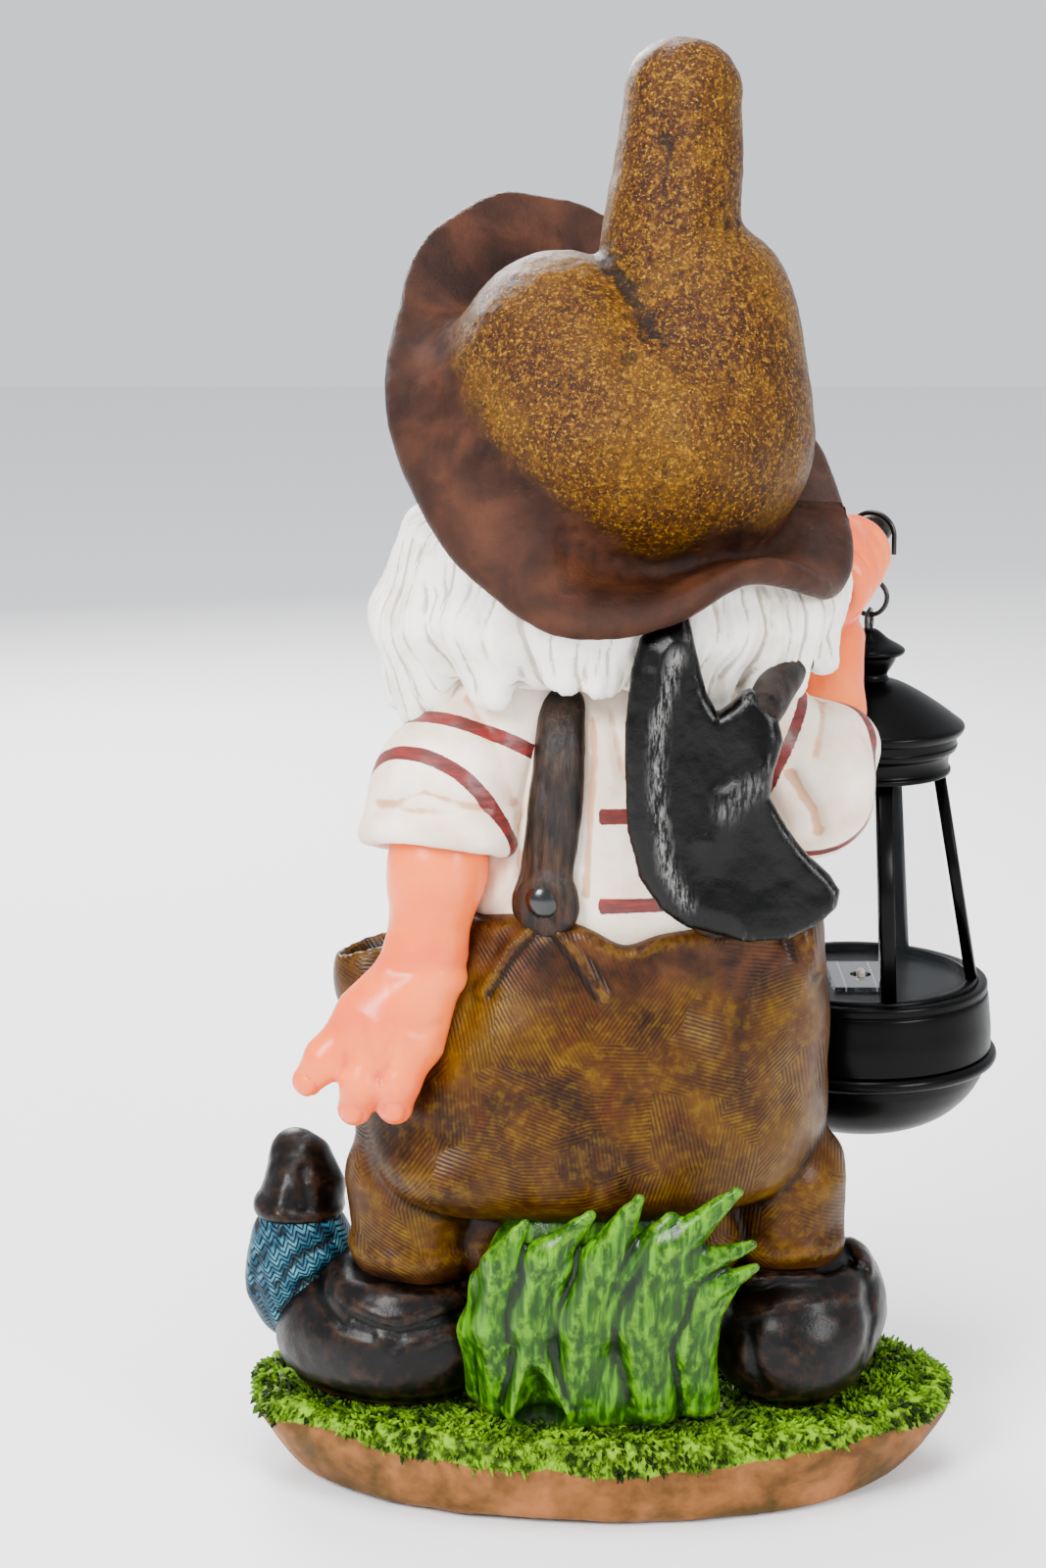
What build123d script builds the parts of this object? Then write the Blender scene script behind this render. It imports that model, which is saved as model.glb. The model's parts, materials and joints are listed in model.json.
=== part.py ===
from build123d import *
import os
from functools import cache
from math import asin, atan2, cos, degrees, radians, sin, tan

# Garden gnome of hollow painted cast resin, seen in the row frame as a standing figure:
# +Z up, the figure faces -Y, its right hand is on -X. The origin is on the underside of
# the base. The figure carries an axe over its right shoulder; a wire S-hook on the front
# end of the axe handle holds a solar lantern, whose lower bowl twists off. Millimetres.

# ---------------------------------------------------------------- driving dimensions
ON_FLOOR = (Align.CENTER, Align.CENTER, Align.MIN)

WALL = 7.0                  # thickness of the cast resin shell
GLUE = 0.2                  # glue line between two bonded castings

BASE_LENGTH = 350.0         # along X, at the widest level
BASE_DEPTH = 184.0          # along Y, at the widest level
BASE_FOOT_INSET = 22.0      # how far the underside stands in from the widest level
BASE_RIM_HEIGHT = 30.0      # height of the widest level
BASE_HEIGHT = 46.0          # height of the turf that the boots stand on
BASE_OFFSET_Y = -4.0
VENT_RADIUS = 11.0          # casting vent in the underside, closed by a plug
VENT_X = 75.0
PLUG_CLEARANCE = 0.05
PLUG_FLANGE = 3.0

LEG_LENGTH = 44.0           # visible breeches leg between boot and trouser seat
BOOT_HEIGHT = 66.0
TROUSER_HEIGHT = 138.0
TROUSER_HALF_WIDTH = 117.0
TROUSER_HALF_DEPTH = 92.0
TORSO_HEIGHT = 112.0
TORSO_HALF_WIDTH = 84.0
TORSO_HALF_DEPTH = 72.0
TORSO_X = -12.0             # the trunk leans towards the axe

HEAD_RADIUS = 63.0
HEAD_RISE = 76.0            # head centre above the shoulder line
CROWN_HALF_WIDTH = 82.0
CROWN_HALF_DEPTH = 70.0
CROWN_HALF_HEIGHT = 76.0
CROWN_RISE = 54.0           # crown centre above head centre
PEAK_RADIUS = 27.5          # blunt finger-like peak on the hat
PEAK_RISE = 134.0           # centre of the peak's round end above the crown centre
BRIM_RADIUS = 108.0
BRIM_THICKNESS = 9.0
BRIM_DISH = 24.0            # how far the rim is turned up from the hat band
BRIM_RISE = -19.0           # middle of the rim above the crown centre
BRIM_SIDE_TILT = 38.0       # rise of the rim on the figure's left
BRIM_BACK_TILT = 81.0       # drop of the rim at the nape
BRIM_WAVE = 19.0

AXE_THICKNESS = 13.0
HANDLE_RADIUS = 9.0
HANDLE_CLEARANCE = 0.2
HANDLE_REACH = 208.0        # from the axe head to the hook, along Y
HANDLE_RUN_X = -70.0        # sideways run over that reach
HANDLE_CLIMB = 51.0         # climb over that reach
HANDLE_STUB = 11.0          # handle left in front of the hook

STRAP_WIDTH = 26.0
STRAP_THICKNESS = 7.0
BUTTON_RADIUS = 8.0
BUTTON_HEIGHT = 5.0

HOOK_WIRE = 1.3             # wire radius
HOOK_TOP_RADIUS = 12.0      # to the wire's centre line
HOOK_LOW_RADIUS = 9.0
HOOK_TAIL = 9.0
HOOK_LOW_TAIL = 4.0
HANG_GAP = 0.3              # air between things that hang on each other
EYE_WIRE = 1.2
EYE_RADIUS = 6.0
EYE_SUNK = 2.0              # how far the eye's ring is moulded into the finial

LANTERN_HEIGHT = 263.0      # finial point to the bottom of the bowl
FINIAL_RADIUS = 18.5
FINIAL_NECK_RADIUS = 10.0
FINIAL_HEIGHT = 25.0
FINIAL_SPIGOT = 4.0         # radius of the pin that goes through the roof
ROOF_RADIUS = 50.0
ROOF_RISE = 24.0
ROOF_SKIRT = 13.0
ROOF_SKIRT_RADIUS = 46.5
ROOF_THROAT_RADIUS = 42.5
ROOF_THROAT = 12.0
PLASTIC_WALL = 2.2
BAR_COUNT = 5
BAR_WIDTH = 9.0
BAR_DEPTH = 4.5
BAR_LENGTH = 108.0          # height between the two rings of the frame
BAR_TOP_RADIUS = 37.5       # to the middle of a bar
BAR_FOOT_RADIUS = 57.5
FRAME_RING = 4.0
FOOT_RING_LAND = 3.5        # how far the foot ring stands out past the bars' middle
GLASS_WALL = 1.5
FIT_GAP = 0.15              # clearance of loose plastic fits
COLLAR_TOP_RADIUS = 66.0
COLLAR_RADIUS = 68.5
COLLAR_HEIGHT = 34.0
BEAD_RADIUS = 71.8
BEAD_HEIGHT = 8.0
BOWL_DEPTH = 40.0
BOWL_MOUTH_RADIUS = 66.0
BOWL_FLAT_RADIUS = 22.0
SPIGOT_HEIGHT = 9.0
SEAL_WIRE = 0.8
LUG_COUNT = 3
LUG_SPAN = 26.0             # degrees
LUG_HEIGHT = 2.0
LUG_REACH = 1.6
DECK_THICKNESS = 3.0
LED_RADIUS = 2.5
CELL_WIDTH = 32.0
CELL_LENGTH = 50.0
CELL_THICKNESS = 2.4
BATTERY_RADIUS = 7.2
BATTERY_LENGTH = 50.0
HOLDER_WALL = 1.8
BOARD_SIZE = (30.0, 22.0, 1.6)
SCREW_RADIUS = 1.5
SCREW_HEAD_RADIUS = 3.0
SCREW_HEAD_HEIGHT = 1.8
SCREW_LENGTH = 8.0
SWITCH_TRAVEL = 3.0
KNOB_LENGTH = 4.0
KNOB_WIDTH = 3.0
KNOB_HEIGHT = 3.0

# ---------------------------------------------------------------- levels of the figure
BOOT_SOLE = BASE_HEIGHT + GLUE
BOOT_TOP = BOOT_SOLE + BOOT_HEIGHT
SEAT_Z = BOOT_TOP + LEG_LENGTH
WAIST_Z = SEAT_Z + TROUSER_HEIGHT
SHOULDER_Z = WAIST_Z + TORSO_HEIGHT
HEAD = (-4.0, -14.0, SHOULDER_Z + HEAD_RISE)
CROWN = (-14.0, 30.0, HEAD[2] + CROWN_RISE)
BACK_Y = TROUSER_HALF_DEPTH - 4.0      # the plane that the axe head lies on

EYE_OF_AXE = (-68.0, BACK_Y + AXE_THICKNESS / 2, SHOULDER_Z - 4.0)
HOOK_SEAT = (
    EYE_OF_AXE[0] + HANDLE_RUN_X,
    EYE_OF_AXE[1] - HANDLE_REACH,
    EYE_OF_AXE[2] + HANDLE_CLIMB,
)
HANDLE_AXIS = (Vector(*HOOK_SEAT) - Vector(*EYE_OF_AXE)).normalized()
FIST = Vector(*HOOK_SEAT) - HANDLE_AXIS * 38.0

# ---------------------------------------------------------------- levels of the lantern
CLIMB = asin(HANDLE_AXIS.Z)
HOOK_CREST = HANDLE_RADIUS / cos(CLIMB) + HANG_GAP + HOOK_WIRE * (1 + tan(CLIMB))
HOOK_Z = HOOK_SEAT[2] + HOOK_CREST - HOOK_TOP_RADIUS
HOOK_TURN = degrees(atan2(-HANDLE_RUN_X, HANDLE_REACH))    # the hook hangs square to the handle
LOW_ARC_DROP = 31.5                    # between the centres of the hook's two arcs
LOW_ARC_Z = HOOK_Z - LOW_ARC_DROP
EYE_Z = LOW_ARC_Z - HOOK_LOW_RADIUS + HOOK_WIRE + HANG_GAP - EYE_RADIUS + EYE_WIRE
APEX_Z = EYE_Z - EYE_RADIUS + EYE_SUNK
NECK_Z = APEX_Z - FINIAL_HEIGHT
RIM_Z = NECK_Z - ROOF_RISE
SKIRT_Z = RIM_Z - ROOF_SKIRT
THROAT_Z = SKIRT_Z - ROOF_THROAT
FOOT_RING_Z = THROAT_Z - BAR_LENGTH
COLLAR_Z = FOOT_RING_Z - FRAME_RING
DECK_Z = COLLAR_Z - DECK_THICKNESS
BEAD_Z = COLLAR_Z - COLLAR_HEIGHT
BOWL_Z = APEX_Z - LANTERN_HEIGHT
LANTERN_X, LANTERN_Y = HOOK_SEAT[0], HOOK_SEAT[1]


# ---------------------------------------------------------------- shared forms
def ellipsoid(centre, radii, grow=0.0):
    """A closed egg form; grow makes the room that a neighbour leaves for it."""
    return Pos(*centre) * scale(Sphere(1), by=tuple(r + grow for r in radii))


def limb(start, end, start_radius, end_radius, grow=0.0):
    """A tapered round limb with round ends."""
    a, b = Vector(*start), Vector(*end)
    shaft = Plane(origin=a, z_dir=b - a) * Cone(
        start_radius + grow,
        end_radius + grow,
        (b - a).length,
        align=ON_FLOOR,
    )
    return shaft + Pos(*a) * Sphere(start_radius + grow) + Pos(*b) * Sphere(end_radius + grow)


def tower(sections, grow=0.0):
    """A smooth skin through level ellipses, each (z, x, y, half width, half depth)."""
    return loft([Pos(x, y, z) * Ellipse(a + grow, b + grow) for z, x, y, a, b in sections])


def slab(low, high, reach=400.0):
    """Everything between two levels, for trimming."""
    block = Box(2 * reach, 2 * reach, high - low, align=ON_FLOOR)
    return Pos(0, 0, low) * block


def turned(outline):
    """A body turned about the lantern's axis from (radius, z) points."""
    face = make_face(Polyline(*[(r, 0, z) for r, z in outline], close=True))
    return Pos(LANTERN_X, LANTERN_Y, 0) * revolve(face, Axis.Z)


def at_lantern(shape, angle=0.0, z=0.0):
    return Pos(LANTERN_X, LANTERN_Y, z) * Rot(0, 0, angle) * shape


def main_solid(shape):
    """The one piece that is left after trimming."""
    return max(shape.solids(), key=lambda s: s.volume)


# ---------------------------------------------------------------- base
@cache
def base_form(grow=0.0):
    a, b = BASE_LENGTH / 2, BASE_DEPTH / 2
    y = BASE_OFFSET_Y
    return tower(
        [
            (0, 0, y, a - BASE_FOOT_INSET, b - BASE_FOOT_INSET * 0.6),
            (BASE_RIM_HEIGHT, 0, y, a, b),
            (BASE_HEIGHT, 0, y, a - BASE_FOOT_INSET * 0.75, b - BASE_FOOT_INSET * 0.75),
        ],
        grow,
    )


def vent_hole(clearance):
    return Pos(VENT_X, 0, 0) * Cylinder(
        VENT_RADIUS + clearance, WALL, align=ON_FLOOR
    )


def base():
    cavity = base_form(-WALL) & slab(WALL, BASE_HEIGHT - WALL)
    return base_form() - cavity - vent_hole(0)


def vent_plug():
    stem = vent_hole(-PLUG_CLEARANCE)
    flange = Pos(VENT_X, 0, WALL) * Cylinder(
        VENT_RADIUS + PLUG_FLANGE, PLUG_FLANGE, align=ON_FLOOR
    )
    return stem + flange


# ---------------------------------------------------------------- boots and turf
LEFT_LEG = (92.0, 14.0, 35.0, 33.0)     # x, y, half width, half depth
RIGHT_LEG = (-91.0, 10.0, 30.0, 32.0)


@cache
def leg_form(leg, grow=0.0):
    x, y, a, b = leg
    low = BOOT_TOP - 12.0
    return tower(
        [
            (low, x, y, a - 4, b - 4),
            (BOOT_TOP + LEG_LENGTH * 0.4, x, y, a, b),
            (SEAT_Z + 20.0, x * 0.94, y, a, b),
        ],
        grow,
    )


def above_sole(shape):
    return shape & slab(BOOT_SOLE, BOOT_SOLE + 400.0)


def boot_mid(height_share):
    return BOOT_SOLE + BOOT_HEIGHT * height_share


@cache
def right_boot_form(grow=0.0):
    x, y = RIGHT_LEG[0], RIGHT_LEG[1]
    heel = ellipsoid((x - 1, y + 14, boot_mid(0.46)), (42, 40, BOOT_HEIGHT * 0.56), grow)
    toe = ellipsoid((x - 20, y - 44, boot_mid(0.32)), (35, 42, BOOT_HEIGHT * 0.46), grow)
    return heel + toe


def right_boot():
    return main_solid(above_sole(right_boot_form()) - leg_form(RIGHT_LEG, GLUE))


LEFT_TOE = (150.0, -14.0)               # middle of the sock, below the turned-up toe
SOCK_RADII = (27.0, 30.0, 40.0)
TOE_RADII = (22.0, 27.0, 30.0)


@cache
def left_boot_form(grow=0.0):
    x, y = LEFT_LEG[0], LEFT_LEG[1]
    return ellipsoid((x + 8, y + 6, boot_mid(0.46)), (50, 38, BOOT_HEIGHT * 0.56), grow)


@cache
def left_sock_form(grow=0.0):
    return ellipsoid((*LEFT_TOE, boot_mid(0.82)), SOCK_RADII, grow)


def left_boot():
    return main_solid(above_sole(left_boot_form()) - leg_form(LEFT_LEG, GLUE))


def left_sock():
    return main_solid(above_sole(left_sock_form()) - left_boot_form(GLUE))


def left_toe_cap():
    cap = ellipsoid((LEFT_TOE[0] + 1, LEFT_TOE[1] - 14, boot_mid(1.33)), TOE_RADII)
    return main_solid(cap - left_sock_form(GLUE))


TUFT = (-8.0, 52.0, 62.0, 24.0)         # x, y, half width, half depth


def grass_tuft():
    x, y, a, b = TUFT
    top = SEAT_Z + 16.0
    form = tower(
        [
            (BOOT_SOLE, x, y + 6, a, b),
            ((BOOT_SOLE + top) / 2, x + 2, y + 6, a * 0.9, b * 0.9),
            (top, x - 8, y + 14, a * 0.8, b * 0.55),
        ]
    )
    for neighbour in (
        trouser_form(GLUE),
        leg_form(LEFT_LEG, GLUE),
        leg_form(RIGHT_LEG, GLUE),
        left_boot_form(GLUE),
        right_boot_form(GLUE),
    ):
        form = form - neighbour
    return main_solid(form)


# ---------------------------------------------------------------- trousers and shirt
@cache
def trouser_form(grow=0.0):
    a, b, h = TROUSER_HALF_WIDTH, TROUSER_HALF_DEPTH, TROUSER_HEIGHT
    return tower(
        [
            (SEAT_Z, 7, 0, a * 0.80, b * 0.78),
            (SEAT_Z + h * 0.14, 8, -2, a * 0.98, b * 0.95),
            (SEAT_Z + h * 0.38, 8, -4, a, b),
            (SEAT_Z + h * 0.75, -2, -4, a * 0.90, b * 0.97),
            (WAIST_Z, TORSO_X, 0, TORSO_HALF_WIDTH + 4, TORSO_HALF_DEPTH + 6),
        ],
        grow,
    )


HIP_POCKET = (112.0, -40.0)             # x, y of the gaping pocket on the left hip


def trousers():
    """The wide seat of the breeches, open at the waist, with a gaping hip pocket."""
    pocket = ellipsoid((*HIP_POCKET, SEAT_Z + TROUSER_HEIGHT * 0.62), (22, 24, 30))
    inside = trouser_form(-WALL) & slab(SEAT_Z + WALL, WAIST_Z)
    return main_solid(trouser_form() + pocket - inside)


def breeches_leg(leg):
    return main_solid(leg_form(leg) - trouser_form(GLUE))


@cache
def torso_form(grow=0.0):
    a, b, h = TORSO_HALF_WIDTH, TORSO_HALF_DEPTH, TORSO_HEIGHT
    return tower(
        [
            (WAIST_Z + GLUE, TORSO_X, 0, a, b),
            (WAIST_Z + h * 0.35, TORSO_X, 0, a, b),
            (WAIST_Z + h * 0.78, TORSO_X + 4, 0, a * 0.9, b * 0.9),
            (SHOULDER_Z, TORSO_X + 6, -4, a * 0.62, b * 0.62),
        ],
        grow,
    )


def shirt():
    inside = torso_form(-WALL) & slab(WAIST_Z, SHOULDER_Z - WALL)
    return main_solid(torso_form() - inside - handle_form(HANDLE_CLEARANCE))


# ---------------------------------------------------------------- arms
LEFT_SHOULDER = (50.0, 14.0, SHOULDER_Z - 22.0)
LEFT_CUFF = (78.0, 42.0, SHOULDER_Z - 72.0)
LEFT_WRIST = (86.0, 54.0, SHOULDER_Z - 126.0)
LEFT_PALM = (100.0, 58.0, SHOULDER_Z - 157.0)
RIGHT_SHOULDER = (-62.0, 10.0, SHOULDER_Z - 24.0)
RIGHT_ELBOW = (-96.0, 16.0, SHOULDER_Z - 64.0)
RIGHT_CUFF = (-104.0, -12.0, SHOULDER_Z - 46.0)
RIGHT_WRIST = (-116.0, -54.0, SHOULDER_Z - 2.0)
SLEEVE_RADIUS = 37.0
CUFF_RADIUS = 36.0
FOREARM_RADIUS = 22.5
WRIST_RADIUS = 18.0
FINGER_RADIUS = 9.0


@cache
def left_sleeve_form(grow=0.0):
    return limb(LEFT_SHOULDER, LEFT_CUFF, SLEEVE_RADIUS, CUFF_RADIUS, grow)


@cache
def right_sleeve_form(grow=0.0):
    upper = limb(RIGHT_SHOULDER, RIGHT_ELBOW, SLEEVE_RADIUS, CUFF_RADIUS - 4, grow)
    cuff = limb(RIGHT_ELBOW, RIGHT_CUFF, CUFF_RADIUS - 4, CUFF_RADIUS - 9, grow)
    return upper + cuff


@cache
def left_arm_form(grow=0.0):
    forearm = limb(LEFT_CUFF, LEFT_WRIST, FOREARM_RADIUS, WRIST_RADIUS, grow)
    palm = ellipsoid(LEFT_PALM, (28, 18, 33), grow)
    hand = forearm + palm
    x, y, z = LEFT_PALM
    tips = [
        ((x + 16, y, z - 2), (x + 37, y + 2, z - 34)),
        ((x + 8, y + 4, z - 14), (x + 15, y + 6, z - 52)),
        ((x - 8, y + 2, z - 14), (x - 2, y + 4, z - 50)),
        ((x - 2, y - 8, z - 14), (x + 6, y - 10, z - 46)),
    ]
    for root, tip in tips:
        hand = hand + limb(root, tip, FINGER_RADIUS + 1, FINGER_RADIUS - 0.5, grow)
    return hand


def right_forearm(grow=0.0):
    return limb(RIGHT_CUFF, RIGHT_WRIST, FOREARM_RADIUS, WRIST_RADIUS, grow)


def right_fist(grow=0.0):
    """A closed hand round the handle, turned so that the bore runs from pole to pole."""
    across, thick, along = (r + grow for r in (34, 23, 29))
    hand = Rot(0, 0, 90) * scale(Sphere(1), by=(across, thick, along))
    return Plane(origin=FIST, z_dir=HANDLE_AXIS) * hand


@cache
def right_arm_form(grow=0.0):
    return right_forearm(grow) + right_fist(grow)


def left_sleeve():
    form = left_sleeve_form() - torso_form(GLUE) - left_arm_form(GLUE) - trouser_form(GLUE)
    return main_solid(form)


def right_sleeve():
    form = right_sleeve_form() - torso_form(GLUE) - right_arm_form(GLUE)
    return main_solid(form - handle_form(HANDLE_CLEARANCE))


def left_arm():
    return main_solid(left_arm_form() - torso_form(GLUE) - trouser_form(GLUE))


def right_arm():
    forearm = main_solid(right_forearm() - torso_form(GLUE))
    return main_solid(forearm + right_fist() - handle_form(HANDLE_CLEARANCE))


# ---------------------------------------------------------------- head, hair and hat
@cache
def head_form(grow=0.0):
    r = HEAD_RADIUS
    skull = ellipsoid(HEAD, (r, r, r * 1.05), grow)
    nose = ellipsoid((HEAD[0], HEAD[1] - r - 3, HEAD[2] - 8), (13, 14, 12), grow)
    return skull + nose


def head():
    hollow = ellipsoid(HEAD, tuple(HEAD_RADIUS * k - WALL for k in (1, 1, 1.05)))
    return main_solid(head_form() - torso_form(GLUE) - hollow)


HAIR_LOCKS = [                          # root and tip, each x, y and height above the shoulders
    ((80, 20, 16), (82, 46, -14)),
    ((46, 50, 14), (54, 62, -6)),
    ((6, 56, 14), (12, 70, -6)),
    ((-46, 54, 14), (-54, 64, -2)),
    ((-84, 34, 20), (-92, 50, 6)),
]
HAIR_LOCK_ROOT = 27.0
HAIR_LOCK_TIP = 9.0


@cache
def hair_form(grow=0.0):
    mass = ellipsoid((-2.0, 14.0, SHOULDER_Z + 28.0), (108, 70, 52), grow)
    for root, tip in HAIR_LOCKS:
        start = (root[0], root[1], SHOULDER_Z + root[2])
        end = (tip[0], tip[1], SHOULDER_Z + tip[2])
        mass = mass + limb(start, end, HAIR_LOCK_ROOT, HAIR_LOCK_TIP, grow)
    return mass


def hair():
    form = hair_form() & slab(SHOULDER_Z - 40.0, SHOULDER_Z + 90.0)
    form = form - Pos(0, -230, SHOULDER_Z) * Box(460, 400, 460)
    for neighbour in (
        head_form(GLUE),
        hat_form(GLUE),
        torso_form(GLUE),
        left_sleeve_form(GLUE),
        right_sleeve_form(GLUE),
        right_arm_form(GLUE),
        handle_form(HANDLE_CLEARANCE),
    ):
        form = form - neighbour
    return main_solid(form)


@cache
def beard_form(grow=0.0):
    top, low = HEAD[2] - 6.0, WAIST_Z + 12.0
    return tower(
        [
            (low, HEAD[0] - 2, -82, 12, 10),
            (low + (top - low) * 0.4, HEAD[0], -74, 44, 26),
            (low + (top - low) * 0.8, HEAD[0], -58, 60, 34),
            (top, HEAD[0], -50, 62, 30),
        ],
        grow,
    )


def beard():
    form = beard_form()
    for neighbour in (
        head_form(GLUE),
        torso_form(GLUE),
        hat_form(GLUE),
        right_sleeve_form(GLUE),
        left_sleeve_form(GLUE),
        right_arm_form(GLUE),
        hair_form(GLUE),
    ):
        form = form - neighbour
    return main_solid(form)


BRIM_MIDDLE = (CROWN[0] + 6, CROWN[1] - 27)


def brim_level(x, y):
    """Height of the brim's middle surface: a tilted dish with a wave round its rim."""
    u, v = (x - BRIM_MIDDLE[0]) / BRIM_RADIUS, (y - BRIM_MIDDLE[1]) / BRIM_RADIUS
    tilt = BRIM_SIDE_TILT * u - BRIM_BACK_TILT * v
    wave = -BRIM_WAVE * (2 * u * v + (u * u - v * v) / 3)
    return CROWN[2] + BRIM_RISE + tilt + wave - BRIM_DISH * (1 - u * u - v * v)


def brim_slice(y, grow):
    """One upright cross-section of the brim at a given y."""
    reach, half = BRIM_RADIUS + grow, BRIM_THICKNESS / 2 + grow
    chord = (reach**2 - (y - BRIM_MIDDLE[1]) ** 2) ** 0.5
    xs = [BRIM_MIDDLE[0] + chord * k for k in (-1, -0.5, 0, 0.5, 1)]
    top = [(x, y, brim_level(x, y) + half) for x in xs]
    low = [(x, y, brim_level(x, y) - half) for x in xs]
    return make_face(Spline(*top) + Line(top[-1], low[-1]) + Spline(*low) + Line(top[0], low[0]))


@cache
def brim_form(grow=0.0):
    steps = [k / 10 for k in (-9.8, -8.6, -6.4, -3.4, 0, 3.4, 6.4, 8.6, 9.8)]
    reach = BRIM_RADIUS + grow
    return loft([brim_slice(BRIM_MIDDLE[1] + reach * k, grow) for k in steps])


@cache
def hat_form(grow=0.0):
    crown = ellipsoid(CROWN, (CROWN_HALF_WIDTH, CROWN_HALF_DEPTH, CROWN_HALF_HEIGHT), grow)
    peak = limb(
        (CROWN[0] - 19, CROWN[1] - 14, CROWN[2] + 50),
        (CROWN[0] - 21, CROWN[1] - 20, CROWN[2] + PEAK_RISE),
        PEAK_RADIUS + 3,
        PEAK_RADIUS,
        grow,
    )
    return crown + peak + brim_form(grow)


def hat():
    radii = (CROWN_HALF_WIDTH, CROWN_HALF_DEPTH, CROWN_HALF_HEIGHT)
    inside = ellipsoid(CROWN, tuple(r - WALL for r in radii))
    form = hat_form() - (inside & slab(CROWN[2], CROWN[2] + 200)) - head_form(GLUE)
    form = form - right_arm_form(GLUE) - handle_form(HANDLE_CLEARANCE)
    return main_solid(form)


# ---------------------------------------------------------------- straps and buttons
def strap_path(x, low_z, high_z, back):
    """A band that lies on the trunk, on the back or on the front."""
    side = 1 if back else -1
    low_y = side * (TORSO_HALF_DEPTH + 2)
    high_y = side * (TORSO_HALF_DEPTH * 0.86)
    mid = ((low_y + high_y) / 2, (low_z + high_z) / 2)
    tilt = degrees(asin((low_y - high_y) / (high_z - low_z)))
    band = Box(STRAP_WIDTH, 2 * STRAP_THICKNESS, high_z - low_z)
    return Pos(x, mid[0], mid[1]) * Rot(tilt, 0, 0) * band


STRAPS = {                              # name: x on the trunk, on the back or not
    "strap_back_left": (24.0, True),
    "strap_back_right": (-48.0, True),
    "strap_front_left": (38.0, False),
    "strap_front_right": (-56.0, False),
}


@cache
def strap(name):
    x, back = STRAPS[name]
    form = strap_path(x, WAIST_Z + 2 * GLUE, SHOULDER_Z - 12.0, back)
    for neighbour in (
        torso_form(GLUE),
        trouser_form(GLUE),
        hair_form(GLUE),
        head_form(GLUE),
        beard_form(2 * GLUE),
        left_sleeve_form(GLUE),
        right_sleeve_form(GLUE),
        handle_form(HANDLE_CLEARANCE),
        right_arm_form(GLUE),
    ):
        form = form - neighbour
    return main_solid(form & slab(WAIST_Z + 2 * GLUE, SHOULDER_Z))


def buttons():
    """One domed button on the foot of each strap."""
    group = []
    for x, back in STRAPS.values():
        side = 1 if back else -1
        y = side * (TORSO_HALF_DEPTH + 2 + STRAP_THICKNESS + GLUE + 0.8)
        dome = Cylinder(BUTTON_RADIUS, BUTTON_HEIGHT, align=ON_FLOOR)
        dome = fillet(dome.edges().group_by(Axis.Z)[-1], BUTTON_HEIGHT * 0.45)
        group.append(Pos(x, y, WAIST_Z + 14.0) * Rot(-90 * side, 0, 0) * dome)
    return Compound(children=group)


# ---------------------------------------------------------------- axe
@cache
def handle_form(grow=0.0):
    start = Vector(*EYE_OF_AXE)
    length = (Vector(*HOOK_SEAT) - start).length + HANDLE_STUB
    return Plane(origin=start, z_dir=HANDLE_AXIS) * Cylinder(
        HANDLE_RADIUS + grow, length, align=ON_FLOOR
    )


def axe_handle():
    return handle_form()


def axe_head():
    """A bearded axe head, flat on the back, its long curved edge towards the spine."""
    x, z = EYE_OF_AXE[0], EYE_OF_AXE[2]
    y = BACK_Y
    horn, bulge, heel = (x + 37, y, z + 42), (x + 61, y, z - 34), (x + 33, y, z - 100)
    keel, beard_tip = (x - 2, y, z - 106), (x - 37, y, z - 84)
    poll_low, poll = (x - 4, y, z - 40), (x - 10, y, z - 14)
    poll_top, notch = (x + 4, y, z + 10), (x + 18, y, z)
    edge = Spline(horn, bulge, heel)
    foot = ThreePointArc(heel, ((heel[0] + keel[0]) / 2, y, keel[2] - 1), keel)
    socket = Polyline(keel, beard_tip, poll_low, poll, poll_top, notch, horn)
    plate = extrude(make_face(edge + foot + socket), AXE_THICKNESS, dir=(0, 1, 0))
    for neighbour in (
        handle_form(HANDLE_CLEARANCE),
        trouser_form(GLUE),
        hair_form(GLUE),
        hat_form(GLUE),
        strap("strap_back_right"),
    ):
        plate = plate - neighbour
    return main_solid(plate)


# ---------------------------------------------------------------- S-hook and eye
def s_hook():
    """Upper arc over the handle, crossing stem, lower arc through the lantern's eye."""
    top, low = HOOK_TOP_RADIUS, HOOK_LOW_RADIUS
    lean = asin((top + low) / LOW_ARC_DROP)
    lean_deg = degrees(lean)
    plane = Plane(origin=(0, 0, 0), x_dir=(-1, 0, 0), z_dir=(0, 1, 0))
    with BuildLine(plane) as path:
        Line((top, -HOOK_TAIL), (top, 0))
        CenterArc((0, 0), top, 0, 180 + lean_deg)
        Line(
            (-top * cos(lean), -top * sin(lean)),
            (low * cos(lean), low * sin(lean) - LOW_ARC_DROP),
        )
        CenterArc((0, -LOW_ARC_DROP), low, lean_deg, -180 - lean_deg)
        Line((-low, -LOW_ARC_DROP), (-low, HOOK_LOW_TAIL - LOW_ARC_DROP))
    wire = path.wire()
    hook = sweep(Plane(origin=wire @ 0, z_dir=wire % 0) * Circle(HOOK_WIRE), path=wire)
    return at_lantern(hook, -HOOK_TURN, HOOK_Z)


def eye_form(grow=0.0):
    ring = Rot(0, 90, 0) * Torus(EYE_RADIUS, EYE_WIRE + grow)
    return at_lantern(ring, -HOOK_TURN, EYE_Z)


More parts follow.
